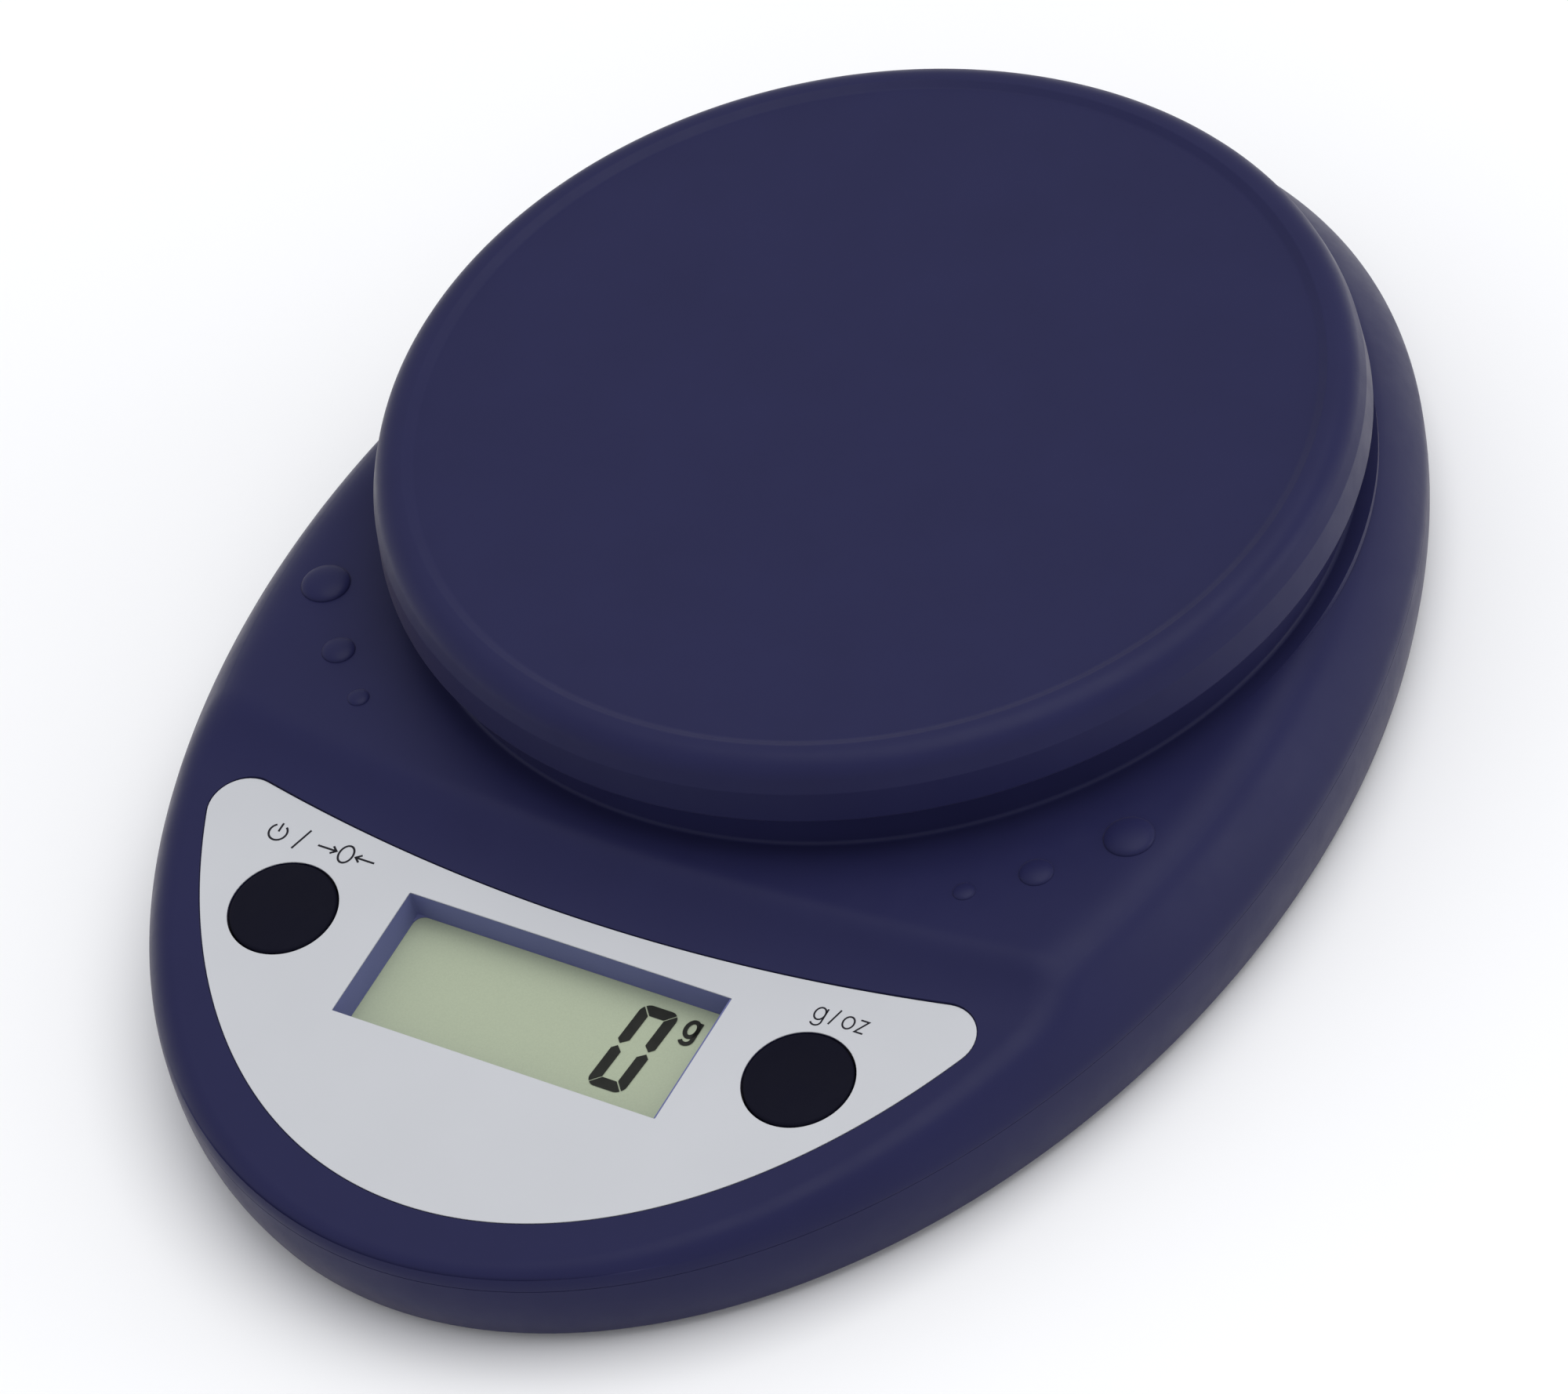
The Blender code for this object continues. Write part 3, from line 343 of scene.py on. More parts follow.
SEGMENT = Nodes("lcd_segment", (0.016, 0.017, 0.014), 0.6)
SEGMENT.set(specular_ior_level=0.15)
SEGMENT.colours(SEGMENT.noise(1.5 * MM, 3.0), 0.3, 0.7, 0.85, 1.2)
SEGMENT.roughness(SEGMENT.noise(3 * MM, 3.0), 0.3, 0.7, 0.45, 0.6)
SEGMENT = SEGMENT.material

RUBBER = moulded("grey_rubber", (0.05, 0.05, 0.055), 0.82, 0.5 * MM, 0.03 * MM, 0.12).material
BLACK = moulded("black_plastic", (0.018, 0.018, 0.02), 0.42, 0.3 * MM).material
GREY = moulded("grey_plastic", (0.24, 0.25, 0.27), 0.5, 0.4 * MM, 0.015 * MM, 0.05).material
SILICONE = moulded("white_silicone", (0.75, 0.75, 0.72), 0.6, 2.0 * MM, 0.15 * MM, 0.04).material
STEEL = metal("zinc_steel", (0.58, 0.585, 0.6), 0.32).material
ALUMINIUM = metal("milled_aluminium", (0.77, 0.775, 0.785), 0.34, (4.0, 0.25, 4.0)).material
NICKEL = metal("nickel", (0.66, 0.64, 0.6), 0.22).material

BOARD = Nodes("board_green", (0.015, 0.11, 0.045), 0.38)
tracks = BOARD.tree.nodes.new("ShaderNodeTexBrick")
tracks.inputs["Scale"].default_value = 160.0
tracks.inputs["Mortar Size"].default_value = 0.05
tracks.inputs["Color1"].default_value = (0.012, 0.10, 0.04, 1.0)
tracks.inputs["Color2"].default_value = (0.016, 0.125, 0.05, 1.0)
tracks.inputs["Mortar"].default_value = (0.05, 0.24, 0.10, 1.0)
BOARD.link(BOARD.place, tracks.inputs["Vector"])
BOARD.link(tracks.outputs["Color"], BOARD.shader.inputs["Base Color"])
BOARD.roughness(BOARD.noise(3 * MM, 4.0), 0.3, 0.7, 0.3, 0.48)
BOARD.bump(tracks.outputs["Fac"], 0.04 * MM, 0.6)
BOARD = BOARD.material


def lead_material(name, colour):
    m = Nodes(name, colour, 0.45)
    m.colours(m.noise(6 * MM, 3.0), 0.3, 0.7, 0.88, 1.1)
    m.roughness(m.noise(2 * MM, 3.0), 0.3, 0.7, 0.38, 0.55)
    m.bump(m.noise(1.0 * MM, 3.0), 0.02 * MM, 0.4)
    return m.material


RED_LEAD = lead_material("red_lead", (0.45, 0.015, 0.015))
BLACK_LEAD = lead_material("black_lead", (0.02, 0.02, 0.02))
GREY_LEAD = lead_material("grey_lead", (0.28, 0.28, 0.3))


def battery_jacket():
    """A printed sleeve: charcoal, with a copper band towards the positive end."""
    m = Nodes("battery_jacket", (0.03, 0.032, 0.036), 0.28, 0.3)
    split = m.tree.nodes.new("ShaderNodeSeparateXYZ")
    m.link(m.place, split.inputs["Vector"])
    band = m.ramp(split.outputs["Z"], -13.6 * MM, -13.4 * MM)
    speck = m.ramp(m.noise(1.2 * MM, 4.0), 0.3, 0.7)
    dark = m.mix(speck, (0.026, 0.028, 0.032), (0.036, 0.038, 0.043))
    warm = m.mix(speck, (0.50, 0.20, 0.07), (0.62, 0.27, 0.10))
    m.link(m.mix(band, dark, warm), m.shader.inputs["Base Color"])
    m.roughness(m.noise(4 * MM, 4.0), 0.3, 0.7, 0.22, 0.36)
    m.bump(m.noise(7 * MM, 2.0), 0.03 * MM, 0.3)
    return m.material


JACKET = battery_jacket()

FLOOR_WHITE = Nodes("floor_white", (0.9, 0.9, 0.905), 0.75)
FLOOR_WHITE.colours(FLOOR_WHITE.noise(400 * MM, 2.0), 0.3, 0.7, 0.995, 1.005)
FLOOR_WHITE = FLOOR_WHITE.material


# -------------------- mesh tools


def linked(name, data):
    item = bpy.data.objects.new(name, data)
    bpy.context.scene.collection.objects.link(item)
    return item


def new_object(name, mesh, material, body="body", slot=None):
    item = linked(name, mesh)
    mesh.materials.append(material)
    if body:
        item["ride_on"] = body
    return item


def mesh_of(name, points, faces):
    mesh = bpy.data.meshes.new(name)
    mesh.from_pydata([tuple(p) for p in points], [], faces)
    mesh.validate()
    return mesh


def smooth(item, angle=32.0):
    """Smooth shading with weighted normals, so that flats stay flat beside small rounded edges."""
    item.data.shade_smooth()
    item.data.set_sharp_from_angle(angle=math.radians(angle))
    weighted = item.modifiers.new("Flat faces", "WEIGHTED_NORMAL")
    weighted.keep_sharp = True
    weighted.weight = 80


def rounded(corners, steps=5):
    """A path of (x, y, radius) corners with each corner turned into an arc. Ends stay as they are."""
    path = [Vector(corner[:2]) for corner in corners]
    points = [path[0]]
    for before, here, after, corner in zip(path, path[1:], path[2:], corners[1:-1]):
        radius = corner[2] if len(corner) > 2 else 0.0
        back = (before - here).normalized()
        ahead = (after - here).normalized()
        opening = back.angle(ahead)
        if radius <= 0.0 or opening > math.radians(178.0):
            points.append(here)
            continue
        reach = radius / math.tan(opening / 2)
        middle = here + (back + ahead).normalized() * (radius / math.sin(opening / 2))
        start = here + back * reach - middle
        turn = start.angle_signed(here + ahead * reach - middle)
        for index in range(steps + 1):
            spun = start.copy()
            spun.rotate(Matrix.Rotation(-turn * index / steps, 2))
            points.append(middle + spun)
    points.append(path[-1])
    return [(point.x, point.y) for point in points]


def revolved_mesh(name, profile, steps, stretch=1.0):
    """A mesh turned round Z from (radius, height) points. Points at radius 0 become poles."""
    points = []
    rings = []
    for radius, height in profile:
        if radius <= 1e-9:
            rings.append([len(points)])
            points.append((0.0, 0.0, height))
            continue
        rings.append(list(range(len(points), len(points) + steps)))
        for index in range(steps):
            angle = 2 * math.pi * index / steps
            points.append((radius * math.cos(angle), stretch * radius * math.sin(angle), height))
    faces = []
    for upper, lower in zip(rings, rings[1:]):
        for index in range(steps):
            after = (index + 1) % steps
            if len(upper) == 1 and len(lower) == 1:
                continue
            if len(upper) == 1:
                faces.append((upper[0], lower[index], lower[after]))
            elif len(lower) == 1:
                faces.append((upper[index], lower[0], upper[after]))
            else:
                faces.append((upper[index], lower[index], lower[after], upper[after]))
    return mesh_of(name, points, faces)


def turned(name, profile, steps, material, matrix, **more):
    item = new_object(name, revolved_mesh(name, profile, steps), material, **more)
    item.matrix_world = matrix
    smooth(item)
    return item


def prism_mesh(name, outline, low, high):
    """A flat outline, drawn anticlockwise, pulled up from low to high."""
    count = len(outline)
    points = [(x, y, low) for x, y in outline] + [(x, y, high) for x, y in outline]
    faces = [tuple(reversed(range(count))), tuple(range(count, 2 * count))]
    for index in range(count):
        after = (index + 1) % count
        faces.append((index, after, count + after, count + index))
    return mesh_of(name, points, faces)


def block_outline(width, depth, radius=0.0, centre=(0.0, 0.0), steps=6):
    """A rectangle, anticlockwise, with rounded corners."""
    points = []
    for turn, (sx, sy) in enumerate(((1, -1), (1, 1), (-1, 1), (-1, -1))):
        corner = (centre[0] + sx * (width / 2 - radius), centre[1] + sy * (depth / 2 - radius))
        if radius <= 0.0:
            points.append(corner)
            continue
        for index in range(steps + 1):
            angle = math.radians(-90.0 + 90.0 * turn + 90.0 * index / steps)
            points.append((corner[0] + radius * math.cos(angle), corner[1] + radius * math.sin(angle)))
    return points


def circle_outline(radius, steps=96, centre=(0.0, 0.0)):
    turns = [2 * math.pi * index / steps for index in range(steps)]
    return [(centre[0] + radius * math.cos(turn), centre[1] + radius * math.sin(turn)) for turn in turns]


def cutter(mesh, matrix=None):
    item = linked("cutter", mesh)
    if matrix:
        item.matrix_world = matrix
    item.hide_render = True
    return item


def cut(mesh, matrix=None):
    return "DIFFERENCE", mesh, matrix


def join(mesh, matrix=None):
    return "UNION", mesh, matrix


def at(x, y, z=0.0):
    return Matrix.Translation((x, y, z))


def below(node):
    """The place on the ground below the middle of a CAD node."""
    spot = centre_of(node)
    return at(spot.x, spot.y)


def apply_modifiers(item):
    """Replaces an item's mesh by what its modifiers make."""
    bpy.context.view_layer.update()
    graph = bpy.context.evaluated_depsgraph_get()
    mesh = bpy.data.meshes.new_from_object(item.evaluated_get(graph))
    old = item.data
    item.modifiers.clear()
    item.data = mesh
    bpy.data.meshes.remove(old)


def carve(item, steps):
    """Applies a list of (operation, mesh, matrix) steps, then removes the helpers."""
    helpers = []
    for operation, mesh, matrix in steps:
        helper = cutter(mesh, matrix)
        helpers.append(helper)
        boolean = item.modifiers.new(operation.title(), "BOOLEAN")
        boolean.operation = operation
        boolean.solver = "EXACT"
        boolean.object = helper
    apply_modifiers(item)
    for helper in helpers:
        mesh = helper.data
        bpy.data.objects.remove(helper)
        bpy.data.meshes.remove(mesh)


def round_edges(item, width, segments=3, angle=40.0):
    bevel = item.modifiers.new("Rounded edges", "BEVEL")
    bevel.width = width
    bevel.segments = segments
    bevel.limit_method = "ANGLE"
    bevel.angle_limit = math.radians(angle)
    bevel.harden_normals = False


# -------------------- upper housing


def soft_min(a, b, softness):
    share = np.clip(0.5 + 0.5 * (b - a) / softness, 0.0, 1.0)
    return b * (1 - share) + a * share - softness * share * (1 - share)


def soft_max(a, b, softness):
    return -soft_min(-a, -b, softness)


def console_height(y):
    return CONSOLE_Z + (y - CONSOLE_Y) * math.tan(CONSOLE_TILT)


def top_height(x, y, drop, console_drop):
    """Height of the deck, step and console. drop and console_drop make the inside of the shell."""
    ahead = np.hypot(x, y - (STEP_Y + STEP_RADIUS)) - STEP_RADIUS - drop
    deck = DECK_Z - drop
    step = DECK_Z - drop - ahead / STEP_SLOPE
    low = soft_max(step, console_height(y) - console_drop, STEP_FOOT_SOFTNESS)
    return soft_min(low, np.full_like(low, deck), STEP_TOP_SOFTNESS)


def shoulder_height(rho, inset):
    """Height of the wall's arc at a scaled radius."""
    radius = SHOULDER_RADIUS - inset
    across = np.clip(rho - SHOULDER_X, 0.0, radius)
    return SHOULDER_Z + np.sqrt(radius**2 - across**2)


def housing_angles():
    """Columns of the shell, closer together on the front half, where the step and the console are."""
    front = np.linspace(math.pi, 2 * math.pi, 460, endpoint=False)
    back = np.linspace(0.0, math.pi, 180, endpoint=False)
    return np.concatenate([back, front])


def skin_heights(rho, angle, inset, console_drop, softness):
    x = rho * np.cos(angle)
    y = STRETCH * rho * np.sin(angle)
    return x, y, soft_min(top_height(x, y, inset, console_drop), shoulder_height(rho, inset), softness)


def upper_shell_mesh():
    """A closed thin shell: the outer skin from the middle to the belt, then the inner skin back again."""
    angles = housing_angles()
    sweep = np.linspace(math.radians(46.0), SHOULDER_FOOT, 40)
    wall = SHOULDER_X + SHOULDER_RADIUS * np.cos(sweep)
    flat = np.concatenate([[12.0 * MM, 20.0 * MM], np.arange(25.0 * MM, wall[0], 0.62 * MM)])
    rows = []
    for rho in np.concatenate([flat, wall]):
        rows.append(skin_heights(np.full_like(angles, rho), angles, 0.0, 0.0, RIDGE_SOFTNESS))
    edge = PARTING_EDGE
    belt = BELT_Z + PARTING_GAP / 2
    for share in np.linspace(0.15, 0.9, 6):
        inset = math.tan(SHOULDER_FOOT) * WALL_BLEND * (1 - share) ** 2 / 2
        rho = HALF_WIDTH - inset
        height = BELT_Z + WALL_BLEND * (1 - share)
        rows.append((rho * np.cos(angles), STRETCH * rho * np.sin(angles), np.full_like(angles, height)))
    for inset, lift in ((0.0, edge), (edge * 0.3, edge * 0.3), (edge, 0.0), (WALL, 0.0)):
        rho = HALF_WIDTH - inset
        rows.append((rho * np.cos(angles), STRETCH * rho * np.sin(angles), np.full_like(angles, belt + lift)))
    inner_start = HALF_WIDTH - WALL - 0.05 * MM
    for rho in np.concatenate([np.linspace(inner_start, 60 * MM, 18), np.linspace(56 * MM, 12 * MM, 20)]):
        x, y, z = skin_heights(np.full_like(angles, rho), angles, WALL, SKIN, 0.6 * MM)
        rows.append((x, y, np.maximum(z, belt + 0.02 * MM)))
    count = len(angles)
    points = np.concatenate([np.stack(row, axis=1) for row in rows])
    points = np.vstack([points, [(0.0, 0.0, DECK_Z), (0.0, 0.0, DECK_Z - WALL)]])
    top, under = len(points) - 2, len(points) - 1
    faces = []
    for row in range(len(rows) - 1):
        for index in range(count):
            after = (index + 1) % count
            first, second = row * count, (row + 1) * count
            faces.append((first + index, second + index, second + after, first + after))
    last = (len(rows) - 1) * count
    for index in range(count):
        after = (index + 1) % count
        faces.append((top, index, after))
        faces.append((last + index, under, last + after))
    return mesh_of("upper_shell", points, faces)


def label_outline(grow, arc_steps=60):
    """The half-moon outline in the console's plane: an oval at the front, a shallow arc at the rear."""
    half_width = LABEL_HALF_WIDTH + grow
    half_depth = LABEL_HALF_DEPTH + grow
    centre = Vector((0.0, LABEL_TOP_Y + grow + LABEL_TOP_RADIUS))
    corner = LABEL_CORNER + grow

    def oval(angle, inset=0.0):
        point = Vector((half_width * math.cos(angle), half_depth * math.sin(angle)))
        normal = Vector((half_depth * math.cos(angle), half_width * math.sin(angle))).normalized()
        return point - normal * inset, normal

    low = math.radians(-80.0)
    high = math.radians(-5.0)
    for _ in range(60):
        middle = (low + high) / 2
        spot, _normal = oval(middle, corner)
        if (spot - centre).length > LABEL_TOP_RADIUS + corner:
            low = middle
        else:
            high = middle
    spot, normal = oval(middle, corner)
    right = []
    for index in range(arc_steps + 1):
        right.append(oval(math.radians(-90.0) + (middle + math.radians(90.0)) * index / arc_steps)[0])
    start = math.atan2(normal.y, normal.x)
    towards = centre - spot
    end = math.atan2(towards.y, towards.x)
    for index in range(1, 17):
        angle = start + (end - start) * index / 16
        right.append(spot + Vector((math.cos(angle), math.sin(angle))) * corner)
    sweep = math.atan2(right[-1].x, centre.y - right[-1].y)
    for index in range(1, 33):
        angle = sweep * (1 - index / 32)
        right.append(centre + Vector((math.sin(angle), -math.cos(angle))) * LABEL_TOP_RADIUS)
    left = [Vector((-point.x, point.y)) for point in reversed(right[1:-1])]
    shrink = 1.0 / math.cos(CONSOLE_TILT)
    return [(point.x, (point.y - CONSOLE_Y) * shrink) for point in right + left]


def cylinder_mesh(radius, low, high, steps=96):
    return prism_mesh("round", circle_outline(radius, steps), low, high)


def upper_housing():
    item = new_object("housing_top", upper_shell_mesh(), NAVY, slot="navy_plastic")
    on_platform = at(0.0, PLATFORM_Y)
    boss = rounded(
        [
            (0.0, BOSS_TOP),
            (BOSS_RADIUS, BOSS_TOP, 1.2 * MM),
            (BOSS_RADIUS, DECK_Z, 0.6 * MM),
            (BOSS_RADIUS + 2.6 * MM, DECK_Z),
            (BOSS_RADIUS + 2.6 * MM, DECK_Z - 1.0 * MM),
            (0.0, DECK_Z - 1.0 * MM),
        ],
        6,
    )
    collar = block_outline(WINDOW_WIDTH + 4 * MM, WINDOW_DEPTH + 4 * MM, 1.0 * MM)
    hollow = cylinder_mesh(BOSS_RADIUS - WALL, DECK_Z - 6 * MM, BOSS_TOP - WALL, 128)
    recess = prism_mesh("recess", label_outline(0.16 * MM), -FILM - 0.05 * MM, 4 * MM)
    window = block_outline(WINDOW_WIDTH + 2 * LINER, WINDOW_DEPTH + 2 * LINER)
    neck = prism_mesh("neck", block_outline(20 * MM, 21 * MM, 1.5 * MM), DECK_Z, BOSS_TOP + 4 * MM)
    steps = [
        join(revolved_mesh("boss", boss, 224), on_platform),
        join(prism_mesh("collar", collar, 0.3 * MM - LCD_DROP, -1.2 * MM), CONSOLE),
        cut(hollow, on_platform),
        cut(recess, CONSOLE),
        cut(prism_mesh("window", window, -8 * MM, 4 * MM), CONSOLE),
        cut(neck, at(0.0, centre_of("carrier_screw_1").y + 4.0 * MM)),
    ]
    for side in SIDES.values():
        outline = circle_outline(BUTTON_HOLE, 96, (side * BUTTON_X, BUTTON_Y))
        steps.append(cut(prism_mesh("hole", outline, -8 * MM, 4 * MM), CONSOLE))
    carve(item, steps + dot_steps())
    smooth(item, 28.0)
    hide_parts("upper_housing")


def dot_steps():
    """Two rows of three low domes that get smaller towards the front, joined to the deck."""
    steps = []
    for side in SIDES.values():
        for angle, radius in DOTS:
            turn = math.radians(angle)
            profile = []
            for index in range(17):
                rise = math.radians(90.0 * (1 - index / 16))
                profile.append((radius * math.cos(rise), DOT_RISE * radius * math.sin(rise)))
            profile[0] = (0.0, DOT_RISE * radius)
            profile += [(radius, -PAST), (0.0, -PAST)]
            place = at(side * DOT_CIRCLE * math.sin(turn), PLATFORM_Y - DOT_CIRCLE * math.cos(turn), DECK_Z)
            steps.append(join(revolved_mesh("dot", profile, 72), place))
    return steps


# -------------------- platform


def platform():
    flat = PLATFORM_TOP - LIP_HEIGHT
    under = flat - 2.2 * MM
    carrier_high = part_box("platform_carrier")[1]
    ring = carrier_high.x + 0.3 * MM
    hook = carrier_high.z - 2.7 * MM
    outer = PLATFORM_LOWER_RADIUS
    profile = rounded(
        [
            (0.0, flat),
            (LIP_RADIUS - 0.9 * MM, flat, 1.4 * MM),
            (LIP_RADIUS + 0.4 * MM, PLATFORM_TOP, 0.7 * MM),
            (PLATFORM_RADIUS - 1.25 * MM, PLATFORM_TOP, 3.6 * MM),
            (PLATFORM_RADIUS + 0.15 * MM, 36.1 * MM, 0.9 * MM),
            (outer, PLATFORM_LOWER_Z, 0.35 * MM),
            (outer - 1.6 * MM, PLATFORM_LOWER_Z, 0.35 * MM),
            (outer - 2.0 * MM, under - 1.0 * MM, 0.4 * MM),
            (outer - 3.0 * MM, under, 0.4 * MM),
            (ring + 1.8 * MM, under, 0.3 * MM),
            (ring + 1.8 * MM, hook - 0.5 * MM, 0.2 * MM),
            (ring - 0.9 * MM, hook - 0.5 * MM, 0.1 * MM),
            (ring - 0.9 * MM, hook, 0.1 * MM),
            (ring, hook, 0.1 * MM),
            (ring, under, 0.2 * MM),
            (0.0, under),
        ],
        7,
    )
    rings = [(0.0, flat)] + [(radius * MM, flat) for radius in (20.0, 40.0, 55.0)] + profile[1:]
    place = at(0.0, PLATFORM_Y)
    item = turned("platform_top", rings, 288, NAVY, place, body="platform", slot="navy_plastic")
    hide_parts("weighing_platform")


# -------------------- label and display


def face_label():
    film = prism_mesh("label", label_outline(0.0), -FILM, 0.0)
    item = new_object("label_film", film, SILVER, slot="silver_label")
    item.matrix_world = CONSOLE
    window = block_outline(WINDOW_WIDTH + REVEAL, WINDOW_DEPTH, 0.12 * MM, (REVEAL / 2, 0.0), 2)
    steps = [cut(prism_mesh("window", window, -2 * MM, 2 * MM), CONSOLE)]
    for side in SIDES.values():
        outline = circle_outline(BUTTON_HOLE, 96, (side * BUTTON_X, BUTTON_Y))
        steps.append(cut(prism_mesh("hole", outline, -2 * MM, 2 * MM), CONSOLE))
    carve(item, steps)
    round_edges(item, 0.05 * MM, 2)
    smooth(item)
    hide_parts("face_label")


def ribbon(points, width, closed=False):
    """A flat stroke of constant width with mitred corners, as (points, quads)."""
    path = [Vector(p) for p in points]
    count = len(path)
    out = []
    for index, here in enumerate(path):
        before = path[index - 1] if closed or index else None
        after = path[(index + 1) % count] if closed or index < count - 1 else None
        runs = [(here - before).normalized()] if before is not None else []
        runs += [(after - here).normalized()] if after is not None else []
        sides = [Vector((-run.y, run.x)) for run in runs]
        middle = (sides[0] + sides[-1]).normalized()
        side = middle * (width / 2) / max(middle.dot(sides[0]), 0.35)
        out += [here + side, here - side]
    quads = []
    for index in range(count if closed else count - 1):
        a = 2 * index
        b = 2 * ((index + 1) % count)
        quads.append((a, a + 1, b + 1, b))
    return [(p.x, p.y) for p in out], quads


def arc(centre, radius, start, end, steps=28, squeeze=1.0):
    turns = [math.radians(start + (end - start) * index / steps) for index in range(steps + 1)]
    return [(centre[0] + squeeze * radius * math.cos(t), centre[1] + radius * math.sin(t)) for t in turns]


def film_object(name, pieces, height, thickness, material, matrix):
    """Flat faces that look up, given as (points, faces) pieces, with a film's thickness over them."""
    work = bmesh.new()
    for points, faces in pieces:
        verts = [work.verts.new((x, y, height)) for x, y in points]
        for face in faces:
            work.faces.new([verts[index] for index in face])
    bmesh.ops.recalc_face_normals(work, faces=work.faces)
    for face in work.faces:
        if face.normal.z < 0:
            face.normal_flip()
    mesh = bpy.data.meshes.new(name)
    work.to_mesh(mesh)
    work.free()
    item = new_object(name, mesh, material)
    item.matrix_world = matrix
    solid = item.modifiers.new("Film thickness", "SOLIDIFY")
    solid.thickness = thickness
    solid.offset = 1.0


def strokes_object(name, strokes, width, height, thickness, material, matrix=CONSOLE):
    """Strokes in the console's plane, joined into one thin raised piece."""
    pieces = [ribbon(points, width, closed) for points, closed in strokes]
    film_object(name, pieces, height, thickness, material, matrix)


def letter(sign, left, base, tall, wide):
    """Strokes of a plain lower-case letter or a slash. Its small-letter height is tall."""
    middle = (left + wide / 2, base + tall / 2)
    squeeze = wide / tall
    if sign == "o":
        return [(arc(middle, tall / 2, 0.0, 351.0, 40, squeeze), True)]
    if sign == "z":
        corners = [(left, base + tall), (left + wide, base + tall), (left, base), (left + wide, base)]
        return [(corners, False)]
    if sign == "/":
        return [([(left, base - 0.1 * tall), (left + wide, base + 1.25 * tall)], False)]
    stem = left + wide
    hook = arc((middle[0], base - 0.12 * tall), 0.36 * tall, 0.0, -150.0, 20, squeeze / 0.72)
    return [
        (arc(middle, tall / 2, 0.0, 351.0, 40, squeeze), True),
        ([(stem, base + 1.02 * tall), (stem, base + 0.1 * tall)] + hook, False),
    ]


def legends():
    """Generic signs: power and set-to-zero over the left button, the two units over the right one."""
    middle = LEGEND_BASE + SIGN_TALL / 2
    strokes = []
    strokes.append((arc((POWER_X, middle), SIGN_TALL * 0.46, 125.0, 415.0, 40), False))
    strokes.append(([(POWER_X, middle + 0.1 * MM), (POWER_X, middle + SIGN_TALL * 0.55)], False))
    slash_top = LEGEND_BASE + SIGN_TALL + 0.4 * MM
    strokes.append(([(SLASH_X[0], LEGEND_BASE - 0.3 * MM), (SLASH_X[1], slash_top)], False))
    strokes.append((arc((ZERO_X, middle), SIGN_TALL * 0.5, 0.0, 351.0, 40, 0.72), True))
    for way in (-1, 1):
        tip = ZERO_X + way * ARROW_TIP
        strokes.append(([(ZERO_X + way * ARROW_TAIL, middle), (tip, middle)], False))
        barb = tip + way * ARROW_BARB[0]
        head = [(barb, middle + ARROW_BARB[1]), (tip, middle), (barb, middle - ARROW_BARB[1])]
        strokes.append((head, False))
    strokes_object("legend_power_zero", strokes, SIGN_STROKE, INK_LIFT, INK_THICK, INK)
    units = []
    for sign, left, wide in UNIT_SIGNS:
        units += letter(sign, left, LEGEND_BASE, UNIT_TALL, wide)
    strokes_object("legend_units", units, UNIT_STROKE, INK_LIFT, INK_THICK, INK)


def zero_bars(half_width, half_height, thick, corner, gap):
    """The six outer bars of a seven-bar digit: rounded corners, mitred joints, pointed middles."""
    inner = (half_width - thick, half_height - thick)

    def corner_arc(start, end):
        turns = [math.radians(start + (end - start) * index / 5) for index in range(6)]
        return [
            (half_width - corner * (1 - math.cos(t)), half_height - corner * (1 - math.sin(t)))
            for t in turns
        ]

    side = [(half_width, 0.8 * MM)]
    side += [(x, y - gap) for x, y in corner_arc(0.0, 45.0) + [inner]]
    side += [(inner[0], 1.0 * MM), (half_width - 0.4 * thick, 0.2 * MM)]
    end = [(x - gap, y) for x, y in [inner] + corner_arc(45.0, 90.0)]
    end += [(-x, y) for x, y in reversed(end)]
    bars = [[(x, way * y) for x, y in end] for way in (-1, 1)]
    for across in (-1, 1):
        for way in (-1, 1):
            bars.append([(across * x, way * y) for x, y in side])
    return bars


def window_parts():
    """The liner of the window's walls, and the bezel with rounded corners round the display. Both take a
    lighter copy of the navy plastic: painted light on recess walls that sit in shade.
    """
    shy = 0.04 * MM
    outer = block_outline(WINDOW_WIDTH + 2 * LINER - shy, WINDOW_DEPTH + 2 * LINER - shy)
    liner_mesh = prism_mesh("liner", outer, 0.02 * MM - LCD_DROP, -FILM - 0.01 * MM)
    liner = new_object("window_liner", liner_mesh, PAINTED_LIT_NAVY, slot="navy_plastic")
    liner.matrix_world = CONSOLE
    walls = block_outline(WINDOW_WIDTH, WINDOW_DEPTH, 0.12 * MM, steps=2)
    carve(liner, [cut(prism_mesh("walls", walls, -6 * MM, 2 * MM), CONSOLE)])
    smooth(liner)
    plate = block_outline(WINDOW_WIDTH + 2 * LINER, WINDOW_DEPTH + 2 * LINER)
    bezel_mesh = prism_mesh("bezel", plate, -0.2 * MM - LCD_DROP, -LCD_DROP)
    bezel = new_object("window_bezel", bezel_mesh, PAINTED_LIT_NAVY, slot="navy_plastic")
    bezel.matrix_world = CONSOLE
    opening = block_outline(WINDOW_WIDTH - 0.1 * MM, WINDOW_DEPTH - 0.1 * MM, 1.6 * MM, steps=12)
    carve(bezel, [cut(prism_mesh("opening", opening, -6 * MM, 2 * MM), CONSOLE)])
    smooth(bezel)


